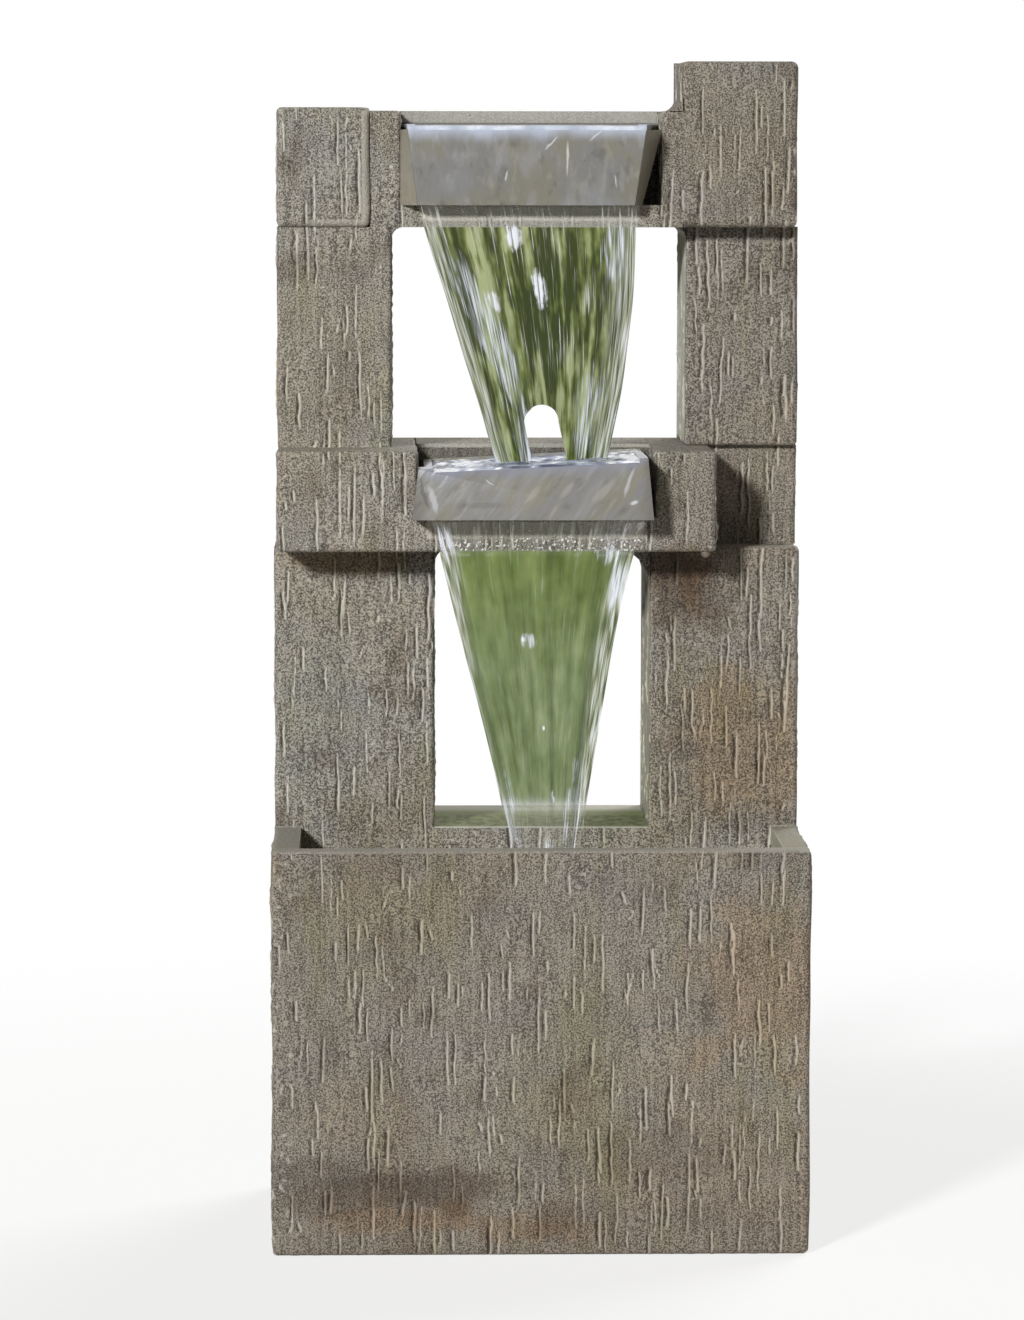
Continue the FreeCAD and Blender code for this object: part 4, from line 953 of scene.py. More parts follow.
DIM: Colour = (0.075, 0.073, 0.070)
LILAC: Colour = (0.500, 0.500, 0.520)
STRAW: Colour = (0.345, 0.335, 0.285)
VIOLET: Colour = (0.190, 0.190, 0.215)
STONE = CastStone()
# The near-white runs on the upper tray are trickles of water drawn as painted highlights.
UPPER_TRAY = WetStone("upper_wet_stone", 0.826, trickles=(
    Trickle(0.0212, 0.803, 0.0014, 0.015, -0.05), Trickle(0.0095, 0.814, 0.0012, 0.006, 0.9),
    Trickle(0.0418, 0.820, 0.0012, 0.005, 1.2), Trickle(0.0569, 0.786, 0.0008, 0.006, -0.2),
    Trickle(-0.0245, 0.790, 0.0008, 0.005, 0.1),
))
# On the lower tray the DIM marks at the left end and along the foot are painted shade, and the LILAC and
# near-white marks are painted highlights.
LOWER_TRAY = WetStone("lower_wet_stone", 0.580, slope=0.05, half_length=0.089, trickles=(
    Trickle(-0.0857, 0.5580, 0.0022, 0.0150, -0.27, DIM, 0.75),
    Trickle(-0.0788, 0.5530, 0.0030, 0.0120, -0.25, LILAC, 0.70),
    Trickle(-0.0050, 0.5570, 0.0035, 0.0070, 0.80, STRAW, 0.60),
    Trickle(0.0190, 0.5600, 0.0040, 0.0080, 0.80, STRAW, 0.60),
    Trickle(0.0470, 0.5600, 0.0050, 0.0120, 0.80, STRAW, 0.55),
    Trickle(-0.0420, 0.5490, 0.0200, 0.0030, 0.0, DIM, 0.30),
    Trickle(0.0650, 0.5660, 0.0018, 0.0130, 0.35, LILAC, 0.75),
    Trickle(0.0740, 0.5620, 0.0050, 0.0120, 0.20, VIOLET, 0.60),
    Trickle(-0.0370, 0.5660, 0.0008, 0.0030, -1.5),
    Trickle(0.0690, 0.5510, 0.0040, 0.0022, 0.8),
), film=(0.225, 0.240, 0.310), sheen=0.25, lean=0.7)
# Paler than the stone around it: painted light on the cheeks, most of all the right-hand one, which faces away
# from the key light.
CHEEK = WetStone("cheek_stone", 1.0, grey=(0.300, 0.280, 0.230), beige=(0.310, 0.282, 0.220),
                 shade=(0.240, 0.217, 0.170), blue=(0.320, 0.303, 0.255), bright=(0.350, 0.325, 0.270))
STEEL = Moulded("satin_steel", "steel", (0.30, 0.30, 0.29), (0.20, 0.20, 0.195), 0.42,
                grain=420.0, depth=0.0001, metallic=1.0, stretch=(1.0, 1.0, 9.0))
RUBBER = Moulded("rubber", "rubber", (0.035, 0.035, 0.036), (0.055, 0.053, 0.05), 0.75)
PLASTIC = Moulded("pump_plastic", "pump_plastic", (0.045, 0.048, 0.052), (0.07, 0.072, 0.075), 0.5)
KNOB = Moulded("knob_plastic", "knob_plastic", (0.05, 0.13, 0.30), (0.07, 0.17, 0.36), 0.35)
HOSE = Moulded("hose_plastic", "hose_plastic", (0.55, 0.58, 0.56), (0.42, 0.46, 0.43), 0.28,
               grain=260.0, stretch=(1.0, 1.0, 0.2))
CERAMIC = Moulded("shaft_ceramic", "shaft_ceramic", (0.74, 0.73, 0.69), (0.66, 0.64, 0.6), 0.18)
FERRITE = Moulded("magnet_ferrite", "magnet_ferrite", (0.07, 0.07, 0.078), (0.1, 0.1, 0.105), 0.45)


# Pieces


@dataclass
class Piece(ABC):
    """A finished mesh that rides on the fountain and may stand for a CAD node."""

    name: str
    finish: Finish
    node: Union[str, None] = None
    shades = True

    @abstractmethod
    def shape(self) -> BMesh:
        """Model the piece, in metres, where it belongs."""

    def build(self) -> Object:
        """Make the object, dress it and put it on its body.

        Returns:
            The finished object.
        """
        mesh = mesh_of(self.name, self.shape())
        if "custom_normal" in mesh.attributes:
            mesh.attributes.remove(mesh.attributes["custom_normal"])
        mesh.set_sharp_from_angle(angle=SMOOTH_WITHIN)
        piece = linked(self.name, mesh)
        piece.visible_shadow = self.shades
        self.finish.dress(piece)
        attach(piece, BODY)
        if self.node:
            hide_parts(self.node)
        LOG.info("%s: %d faces", self.name, len(mesh.polygons))
        return piece


@dataclass
class Grain:
    """The mould's marks on one flat side: worm-like grooves with raised banks, and a slow unevenness."""

    seed: int
    low: tuple[float, float]
    high: tuple[float, float]
    pitch: float = 0.027
    share: float = 0.85
    groups: tuple[int, ...] = (1, 1, 1, 2, 2, 3)
    slanted: float = 0.15
    groove: float = 0.9
    bank: float = 1.1
    bank_off: float = 1.8
    bank_width: float = 0.9
    beat: float = 0.009
    unevenness: float = 0.00013
    marks: list[tuple[float, ...]] = field(default_factory=list)
    waves: list[tuple[float, ...]] = field(default_factory=list)

    def __post_init__(self) -> None:
        """Draw the marks from the seed."""
        rng = np.random.default_rng(self.seed)
        for across in np.arange(self.low[0], self.high[0], self.pitch):
            for up in np.arange(self.low[1], self.high[1], self.pitch):
                if rng.random() < self.share:
                    self._draw(rng, across + rng.uniform(0.0, self.pitch), up + rng.uniform(0.0, self.pitch))
        for _ in range(7):
            turn = rng.uniform(0.0, math.tau)
            pitch = math.tau / rng.uniform(0.05, 0.16)
            self.waves.append((pitch * math.cos(turn), pitch * math.sin(turn), rng.uniform(0.0, math.tau)))

    def _draw(self, rng: np.random.Generator, across: float, up: float) -> None:
        """Draw one mark, or a few side by side.

        Args:
            rng: Where the chances come from.
            across: The first mark's place from side to side.
            up: Its height.
        """
        for number in range(int(rng.choice(self.groups))):
            slanted = rng.random() < self.slanted
            middle = across + number * rng.uniform(0.004, 0.008)
            level = up + rng.normal(0.0, 0.007)
            if slanted:
                half = rng.uniform(0.003, 0.006)
            else:
                half = rng.uniform(0.006, 0.018) * (1.0 + 0.9 * rng.random() ** 2)
            width = rng.uniform(0.0007, 0.0012)
            depth = rng.uniform(0.0006, 0.0013)
            lean = rng.normal(0.0, 0.35 if slanted else 0.025)
            sway = rng.uniform(0.0, 0.0006)
            pitch = rng.uniform(0.014, 0.035)
            phase = rng.uniform(0.0, math.tau)
            self.marks.append((middle, level, half, width, depth, lean, sway, pitch, phase))

    def height(self, across: np.ndarray, up: np.ndarray) -> np.ndarray:
        """Measure the marks.

        Args:
            across: Places from side to side, in metres.
            up: Heights, in metres.

        Returns:
            How far each point stands out, in metres; below zero in a groove.
        """
        raised = np.zeros_like(across)
        order = np.argsort(across)
        ordered = across[order]
        for middle, level, half, width, depth, lean, sway, pitch, phase in self.marks:
            room = 4.0 * width + sway + abs(lean) * half
            first, last = np.searchsorted(ordered, (middle - room, middle + room))
            near = order[first:last]
            share = (up[near] - level) / half
            near, share = near[abs(share) < 1.0], share[abs(share) < 1.0]
            line = middle + lean * share * half + sway * np.sin(math.tau * share * half / pitch + phase)
            off = (across[near] - line) / width
            ends = np.sqrt(1.0 - share * share)
            ends = ends * (0.8 + 0.3 * np.sin(math.tau * share * half / self.beat + phase))
            cut = self.groove * np.exp(-off * off)
            cut = cut - self.bank * np.exp(-((off - self.bank_off) / self.bank_width) ** 2)
            raised[near] -= depth * ends * cut
        return raised

    def swell(self, across: np.ndarray, up: np.ndarray) -> np.ndarray:
        """Measure the slow unevenness of the side, in metres."""
        return sum(np.sin(a * across + b * up + c) for a, b, c in self.waves) * self.unevenness


FRONT_GRAIN = Grain(11, (-0.200, 0.0), (0.200, 0.880))
LEFT_GRAIN = Grain(23, (-0.135, 0.0), (0.135, 0.880))
RIGHT_GRAIN = Grain(37, (-0.135, 0.0), (0.135, 0.880))


@dataclass
class Block:
    """A straight block of a casting, with its corners in millimetres.

    Sides in the open air meet in rounded edges, and take the marks of the mould. The others are plain.
    """

    low: Triple
    high: Triple
    bare: frozenset[Side]
    radius: float = 3.0
    across_cut: float = 0.66
    side_cut: float = 1.4
    up_cut: float = 2.4
    flat: float = 0.999
    long_share: float = 0.6
    chip_depth: float = 0.0005

    def shape(self) -> BMesh:
        """Model the block.

        Returns:
            A closed shell with relief and edge layers.
        """
        shell = bmesh.new()
        low, high = metres(*self.low), metres(*self.high)
        bmesh.ops.create_cube(shell, size=1.0)
        bmesh.ops.scale(shell, vec=high - low, verts=shell.verts)
        bmesh.ops.translate(shell, vec=(low + high) / 2, verts=shell.verts)
        self._round(shell)
        lids = self._open_lids(shell)
        self._cut(shell)
        self._close_lids(shell, lids)
        self._mark(shell)
        return shell

    def _round(self, shell: BMesh) -> None:
        """Round the edges where two bare sides meet.

        Args:
            shell: The straight block.
        """
        edges = [
            edge for edge in shell.edges
            if all(Side.facing(face.normal) in self.bare for face in edge.link_faces)
        ]
        if edges:
            round_edges(shell, edges, self.radius)
        shell.normal_update()

    def _open_lids(self, shell: BMesh) -> list[Side]:
        """Take off the flat sides that stay plain.

        Args:
            shell: The rounded block.

        Returns:
            The sides that were taken off.
        """
        skin = self.bare & {Side.FRONT, Side.LEFT, Side.RIGHT}
        plain = {side: [] for side in Side if side not in skin}
        for face in shell.faces:
            side = Side.facing(face.normal)
            if side in plain and face.normal[side.axis] * side.way > self.flat:
                plain[side].append(face)
        taken = [face for faces in plain.values() for face in faces]
        bmesh.ops.delete(shell, geom=taken, context="FACES_ONLY")
        return [side for side, faces in plain.items() if faces]

    def _cut(self, shell: BMesh) -> None:
        """Cut the skin into fine strips, up, across and from front to back.

        Args:
            shell: The block without its lids.
        """
        for axis, pitch in ((2, self.up_cut), (0, self.across_cut), (1, self.side_cut)):
            span = self.high[axis] - self.low[axis]
            edges = []
            for edge in shell.edges:
                run = edge.verts[1].co - edge.verts[0].co
                if edge.link_faces and abs(run[axis]) > self.long_share * span * MM:
                    edges.append(edge)
            count = int(span / pitch)
            if edges and count > 1:
                bmesh.ops.subdivide_edges(shell, edges=edges, cuts=count - 1, use_grid_fill=True)

    def _close_lids(self, shell: BMesh, lids: list[Side]) -> None:
        """Close the flat sides again, each with one flat face.

        Args:
            shell: The cut block.
            lids: The sides that were taken off.
        """
        for side in lids:
            plane = (self.low if side.way < 0 else self.high)[side.axis] * MM
            ring = [
                edge for edge in shell.edges
                if all(abs(vert.co[side.axis] - plane) < WELD for vert in edge.verts)
            ]
            for face in bmesh.ops.edgeloop_fill(shell, edges=ring)["faces"]:
                face.smooth = False
        bmesh.ops.recalc_face_normals(shell, faces=shell.faces)

    def _mark(self, shell: BMesh) -> None:
        """Press the mould's marks into the skin.

        Args:
            shell: The closed block.
        """
        for face in shell.faces:
            face.smooth = len(face.verts) <= 4
        relief, worn = stone_layers(shell)
        if not self.bare:
            return
        place = np.array([vert.co[:] for vert in shell.verts])
        core_low, core_high = np.array(self.low) * MM, np.array(self.high) * MM
        for side in self.bare:
            (core_low if side.way < 0 else core_high)[side.axis] -= side.way * self.radius * MM
        out = place - np.clip(place, core_low, core_high)
        out /= np.maximum(np.linalg.norm(out, axis=1, keepdims=True), 1e-9)
        x, y, z = place.T
        front = np.where(out[:, 1] < 0.0, out[:, 1] ** 2, 0.0)
        left = np.where(out[:, 0] < 0.0, out[:, 0] ** 2, 0.0)
        right = np.where(out[:, 0] > 0.0, out[:, 0] ** 2, 0.0)
        marks = front * FRONT_GRAIN.height(x, z)
        marks += left * LEFT_GRAIN.height(y, z) + right * RIGHT_GRAIN.height(y, z)
        edge = np.clip(2.0 * (1.0 - np.max(abs(out), axis=1) ** 2), 0.0, 1.0)
        edge[np.linalg.norm(out, axis=1) < 0.5] = 0.0
        chips = np.sin(x * 410.0 + 2.0 * np.sin(z * 230.0)) * np.sin(z * 350.0 + y * 290.0)
        swell = front * FRONT_GRAIN.swell(x, z) + (left + right) * LEFT_GRAIN.swell(y, z)
        moved = place + out * (marks + swell + edge * chips * self.chip_depth)[:, None]
        for vert, spot, mark, share in zip(shell.verts, moved, marks, edge):
            vert.co = spot
            vert[relief] = mark / MM
            vert[worn] = share


@dataclass
class CornerFill:
    """A concave rounding in a corner between an upright and a level face, in millimetres."""

    x: float
    z: float
    to_x: int
    to_z: int
    radius: float
    front: float
    back: float

    def shape(self) -> BMesh:
        """Model the rounding.

        Returns:
            A closed prism from front to back.
        """
        fill = bmesh.new()
        middle = metres(self.x + self.to_x * self.radius, self.front, self.z + self.to_z * self.radius)
        start = fill.verts.new(metres(self.x, self.front, self.z + self.to_z * self.radius))
        turn = -math.pi / 2 * self.to_x * self.to_z
        bmesh.ops.spin(fill, geom=[start], cent=middle, axis=(0, 1, 0), angle=turn, steps=8)
        last = max(fill.verts, key=lambda vert: abs(vert.co.x - self.x * MM))
        corner = fill.verts.new(metres(self.x, self.front, self.z))
        fill.edges.new((start, corner))
        fill.edges.new((corner, last))
        face = bmesh.ops.edgeloop_fill(fill, edges=fill.edges[:])["faces"]
        grown = bmesh.ops.extrude_face_region(fill, geom=face, use_keep_orig=True)
        verts = [item for item in grown["geom"] if isinstance(item, BMVert)]
        bmesh.ops.translate(fill, vec=metres(0.0, self.back - self.front, 0.0), verts=verts)
        bmesh.ops.recalc_face_normals(fill, faces=fill.faces)
        stone_layers(fill)
        return fill


@dataclass
class Casting(Piece):
    """A casting of one or more straight blocks that abut, in one mesh."""

    parts: list[Union[Block, CornerFill]] = field(default_factory=list)

    def shape(self) -> BMesh:
        """Model the casting.

        Returns:
            All its blocks in one mesh.
        """
        whole = bmesh.new()
        stone_layers(whole)
        for part in self.parts:
            join(whole, part.shape())
        return whole


@dataclass
class BasinCasting(Casting):
    """The basin: marked walls in front and at the sides, and the CAD model's own back wall."""

    back_from: float = 110.0

    def shape(self) -> BMesh:
        """Model the basin.

        Returns:
            The walls, the floor and the back wall in one mesh.
        """
        whole = super().shape()
        back = merged_copy(self.node)
        everything = back.verts[:] + back.edges[:] + back.faces[:]
        bmesh.ops.bisect_plane(back, geom=everything, plane_co=metres(0.0, self.back_from, 0.0),
                               plane_no=(0.0, 1.0, 0.0), clear_inner=True)
        bmesh.ops.edgeloop_fill(back, edges=[edge for edge in back.edges if edge.is_boundary])
        stone_layers(back)
        join(whole, back)
        return whole


LEFT, RIGHT, FRONT, TOP, BOTTOM = Side.LEFT, Side.RIGHT, Side.FRONT, Side.TOP, Side.BOTTOM
WALL = {"up_cut": 3.2, "side_cut": 1.6, "radius": 4.0}


def bare(*sides: Side) -> frozenset[Side]:
    """Name the sides of a block that are in the open air."""
    return frozenset(sides)


def castings() -> list[Casting]:
    """List the tower's castings from the ground up, in millimetres.

    Returns:
        The castings.
    """
    return [
        BasinCasting("basin_casting", STONE, "basin", [
            Block((-197.5, -130, 0), (197.5, -112, 300), bare(LEFT, RIGHT, FRONT, TOP, BOTTOM), **WALL),
            Block((-197.5, -112, 0), (-177.5, 2, 300), bare(LEFT, TOP, BOTTOM), **WALL),
            Block((-197.5, 2, 0), (-177.5, 110, 286), bare(LEFT, BOTTOM), **WALL),
            Block((177.5, -112, 0), (197.5, 2, 300), bare(RIGHT, TOP, BOTTOM), **WALL),
            Block((177.5, 2, 0), (197.5, 110, 286), bare(RIGHT, BOTTOM), **WALL),
            Block((-177.5, -112, 0), (177.5, 110, 16), bare()),
        ]),
        Casting("deck_casting", STONE, "tower_deck", [
            Block((-197.5, 2, 286), (197.5, 130, 300), bare(FRONT, LEFT, RIGHT), radius=0.8),
            Block((-177, 2, 110), (177, 16, 286), bare(FRONT)),
        ]),
        Casting("left_lower_post_casting", STONE, "left_lower_post", [
            Block((-197, 2, 300), (-77, 122, 512), bare(LEFT, RIGHT, FRONT)),
        ]),
        Casting("right_lower_post_casting", STONE, "right_lower_post", [
            Block((85, 2, 300), (197, 122, 512), bare(LEFT, RIGHT, FRONT, TOP)),
        ]),
        Casting("crossbeam_casting", STONE, "crossbeam", [
            Block((-194.5, -45, 512), (131.5, 122, 538), bare(LEFT, RIGHT, FRONT, BOTTOM)),
            Block((-194.5, -45, 538), (-90, 122, 587), bare(LEFT, RIGHT, FRONT, TOP)),
            Block((87, -45, 538), (131.5, 122, 587), bare(LEFT, RIGHT, FRONT, TOP)),
            Block((-90, 50, 538), (87, 122, 587), bare(TOP)),
            CornerFill(-77, 512, 1, -1, 13.0, 2, 122),
            CornerFill(85, 512, -1, -1, 30.0, 2, 122),
        ]),
        Casting("setback_casting", STONE, "right_setback_block", [
            Block((131.5, 35, 512), (197, 122, 587), bare(RIGHT, FRONT)),
        ]),
        Casting("left_upper_post_casting", STONE, "left_upper_post", [
            Block((-194.5, 5, 587), (-109, 122, 751.5), bare(LEFT, RIGHT, FRONT)),
        ]),
        Casting("right_upper_post_casting", STONE, "right_upper_post", [
            Block((112, 27, 587), (197, 122, 751.5), bare(LEFT, RIGHT, FRONT, BOTTOM)),
        ]),
        Casting("lintel_casting", STONE, "lintel", [
            Block((-125, 5, 751.5), (108.5, 122, 768), bare(FRONT)),
            Block((-125, 5, 768), (-102, 122, 838), bare(RIGHT, FRONT, TOP)),
            Block((93, 5, 768), (108.5, 122, 838), bare(LEFT, FRONT, TOP)),
            Block((-102, 66, 768), (93, 122, 838), bare(TOP)),
            CornerFill(-109, 751.5, 1, -1, 9.0, 5, 122),
            CornerFill(112, 751.5, -1, -1, 8.0, 27, 122),
        ]),
        Casting("left_cap_casting", STONE, "left_cap_block", [
            Block((-194.5, 1, 751.5), (-125, 122, 840.5), bare(LEFT, RIGHT, FRONT, TOP, BOTTOM), radius=4.5),
        ]),
        Casting("right_cap_casting", STONE, "right_cap_block", [
            Block((108.5, 5, 751.5), (194.5, 122, 838), bare(RIGHT, FRONT, BOTTOM), radius=4.5),
            Block((108.5, 5, 838), (194.5, 122, 875), bare(LEFT, RIGHT, FRONT, TOP), radius=4.5),
            CornerFill(108.5, 838, -1, 1, 10.0, 5, 122),
        ]),
    ]


@dataclass
class SpillTray(Piece):
    """A tray with eased edges, whose ends may lean in and whose lip may slope, in millimetres."""

    ease: float = 2.6
    lip_slope: float = 0.0
    tuck: float = 0.0
    lip_depth: float = 8.0
    shortest: float = 5.0
    bluntest: float = math.radians(30.0)

    def shape(self) -> BMesh:
        """Model the tray from a merged copy of its CAD node.

        Returns:
            The tray with rounded edges.
        """
        tray = merged_copy(self.node)
        top = max(vert.co.z for vert in tray.verts)
        foot = min(vert.co.z for vert in tray.verts)
        for vert in tray.verts:
            vert.co.x -= math.copysign(self.tuck * MM, vert.co.x) * (vert.co.z - foot) / (top - foot)
            if vert.co.z > top - self.lip_depth * MM:
                vert.co.z += self.lip_slope * vert.co.x
        edges = [
            edge for edge in tray.edges
            if len(edge.link_faces) == 2 and edge.calc_length() > self.shortest * MM
            and edge.calc_face_angle(0.0) > self.bluntest
        ]
        round_edges(tray, edges, self.ease)
        return smooth(tray)


@dataclass
class TrayCheeks(Piece):
    """The stone wedges that close the notch beside the upper tray, in millimetres.

    Each wedge runs from a corner of the tray's front back to the face of the notch: first the front's
    place at the foot and at the top, then the back's.
    """

    foot: float = 768.0
    top: float = 824.0
    front: tuple[float, float] = (-13.6, -27.0)
    back: float = 6.5
    inward: float = 6.0
    left: tuple[float, float, float, float] = (-89.7, -97.0, -102.5, -102.5)
    right: tuple[float, float, float, float] = (72.2, 79.6, 78.5, 93.0)

    def shape(self) -> BMesh:
        """Model both wedges.

        Returns:
            Two closed wedges.
        """
        cheeks = bmesh.new()
        for low, high, low_back, high_back in (self.left, self.right):
            inward = math.copysign(self.inward, -low_back)
            levels = ((low, low_back, self.front[0], self.foot), (high, high_back, self.front[1], self.top))
            corners = [
                cheeks.verts.new(metres(x, y, z))
                for x_front, x_back, y_front, z in levels
                for x, y in ((x_front, y_front), (x_back, self.back), (x_front + inward, self.back))
            ]
            bmesh.ops.convex_hull(cheeks, input=corners)
        bmesh.ops.recalc_face_normals(cheeks, faces=cheeks.faces)
        return cheeks


@dataclass
class WaterFall(Piece):
    """A sheet of falling water that draws in as it falls and lets light through, in millimetres."""

    shades = False

    top: float = 768.0
    foot: float = 577.0
    left: tuple[float, float, float, float] = (-89.5, 58.5, 1.0, 0.0)
    right: tuple[float, float, float, float] = (73.0, -22.5, 2.0, 0.0)
    front: float = -14.0
    thickness: float = 3.5
    ridge: float = 0.9
    ridges: int = 9
    gap: Union[Triple, None] = None
    gap_lean: float = 0.0
    columns: int = 150
    rows: int = 110
    seed: int = 5

    def shape(self) -> BMesh:
        """Model the sheet.

        Returns:
            A closed, ridged sheet with across and fall layers.
        """
        rng = np.random.default_rng(self.seed)
        ridges = [
            (rng.uniform(7.0, 26.0), rng.uniform(-2.2, 2.2), rng.uniform(0.0, math.tau), rng.uniform(0.2, 0.5))
            for _ in range(self.ridges)
        ]
        water = bmesh.new()
        across = water.verts.layers.float.new("across")
        fall = water.verts.layers.float.new("fall")
        bmesh.ops.create_grid(water, x_segments=self.columns, y_segments=self.rows, size=1.0)
        for vert in water.verts:
            share, down = vert.co.x, (1.0 - vert.co.y) / 2
            left, right = self._edge(self.left, down), self._edge(self.right, down)
            x = (left + right) / 2 + share * (right - left) / 2
            x += share ** 3 * 0.25 * math.sin(down * 17.0 + 2.0 * share)
            wave = sum(size * math.sin(count * share + turn * down + phase)
                       for count, turn, phase, size in ridges)
            rim = 1.0 + 0.8 * share ** 4
            belly = 2.0 * math.sin(math.pi * down) * (1.0 - share * share)
            y = self.front + self.ridge * wave * rim - belly
            vert.co = metres(x, y, self.top + (self.foot - self.top) * down)
            vert[across], vert[fall] = share, down
        if self.gap:
            self._part(water)
        return thicken(water, self.thickness)

    @staticmethod
    def _edge(edge: tuple[float, float, float, float], down: float) -> float:
        """Give an edge's place from side to side: its start, its run, the run's power, and a late turn."""
        start, run, power, turn = edge
        return start + run * down ** power + turn * down ** 4

    def _part(self, water: BMesh) -> None:
        """Part the sheet round its gap, and draw the cut edge onto the gap's round outline.

        Args:
            water: The sheet, without its thickness.
        """
        middle, height, radius = (size * MM for size in self.gap)

        def from_gap(spot: Vector) -> Triple:
            """Measure a spot from the gap.

            Args:
                spot: The spot.

            Returns:
                The gap's middle at its height, its rise into the gap's round top, and its reach.
            """
            rise = max(spot.z - height, 0.0)
            centre = middle + self.gap_lean * max(height - spot.z, 0.0)
            return centre, rise, math.hypot(spot.x - centre, rise)

        inside = [face for face in water.faces if from_gap(face.calc_center_median())[2] < radius]
        bmesh.ops.delete(water, geom=inside, context="FACES")
        for vert in water.verts:
            centre, rise, reach = from_gap(vert.co)
            if vert.is_boundary and reach < radius * 1.35 and vert.co.z > (self.foot + 0.5) * MM:
                vert.co.x = centre + (vert.co.x - centre) * radius / max(reach, WELD)
                if rise > 0.0:
                    vert.co.z = height + rise * radius / max(reach, WELD)


@dataclass
class TrayPool(Piece):
    """Water standing in a tray and rolling over its lip, which lets light through, in millimetres."""

    shades = False

    left: float = -92.0
    right: float = 83.0
    back: float = 57.0
    lip: float = -23.5
    level: float = 827.0
    roll: float = 5.5
    drop: float = 5.0
    lean: float = 0.45
    slope: float = 0.0
    splash: tuple[float, float] = (0.0, 30.0)
    ripple: float = 0.25
    skin: float = 0.6
    columns: int = 150
    rows: int = 110

    def shape(self) -> BMesh:
        """Model the water.

        Returns:
            A thin closed sheet that bends over the lip.
        """
        pool = bmesh.new()
        bmesh.ops.create_grid(pool, x_segments=self.columns, y_segments=self.rows, size=1.0)
        flat = self.back - self.lip
        bend = self.roll * math.pi / 2
        for vert in pool.verts:
            x = self.left + (self.right - self.left) * (vert.co.x + 1.0) / 2
            fringe = 1.0 + 0.08 * math.sin(x * 0.31) * math.sin(x * 0.083 + 1.0)
            run = (1.0 - vert.co.y) / 2 * (flat + bend + self.drop * fringe)
            if run < flat:
                y, z = self.back - run, self.level
            elif run < flat + bend:
                turn = (run - flat) / self.roll
                y = self.lip - self.roll * math.sin(turn)
                z = self.level - self.roll * (1.0 - math.cos(turn))
            else:
                hung = run - flat - bend
                y, z = self.lip - self.roll + hung * self.lean, self.level - self.roll - hung
            reach = math.hypot(x - self.splash[0], y - self.splash[1])
            z += self.ripple * math.sin(reach * 0.55) / (1.0 + reach * 0.02)
            z += self.ripple * 0.6 * math.sin(x * 0.21 + 1.3 * math.sin(y * 0.17)) * math.sin(y * 0.33)
            vert.co = metres(x, y, z + self.slope * x)
        return thicken(pool, self.skin)


@dataclass
class Beads(Piece):
    """Drops of water: spray on the wet face below the tray, or one under the beam, in millimetres."""

    seed: int = 3
    count: int = 150
    hanging: Union[Triple, None] = None
    hanging_radius: float = 3.6
    face: float = -45.2
    foot: float = 513.0
    reach: float = 24.0
    band: tuple[float, float] = (-76.0, 74.0)
    thick_band: tuple[float, float] = (46.0, 76.0)
    thick_share: float = 0.35
    radii: tuple[float, float] = (0.5, 1.3)

    def shape(self) -> BMesh:
        """Model the drops.

        Returns:
            All the drops in one mesh.
        """
        rng = np.random.default_rng(self.seed)
        drops = bmesh.new()
        if self.hanging:
            self._drop(drops, metres(*self.hanging), self.hanging_radius, 2)
        for _ in range(self.count):
            thick = rng.random() < self.thick_share
            x = rng.uniform(*(self.thick_band if thick else self.band))
            z = self.foot + self.reach * rng.random() ** (1.0 if thick else 2.2)
            self._drop(drops, metres(x, self.face, z), rng.uniform(*self.radii), 1)
        return smooth(drops)

    @staticmethod
    def _drop(drops: BMesh, spot: Vector, radius: float, fineness: int) -> None:
        """Add a drop.

        Args:
            drops: The mesh to add it to.
            spot: Its middle.
            radius: Its radius in millimetres.
            fineness: How often its faces are divided.
        """
        made = bmesh.ops.create_icosphere(drops, subdivisions=fineness, radius=radius * MM)
        for vert in made["verts"]:
            vert.co.z *= 1.25 if vert.co.z > 0.0 else 0.9
            vert.co.y *= 0.7
        bmesh.ops.translate(drops, vec=spot, verts=made["verts"])


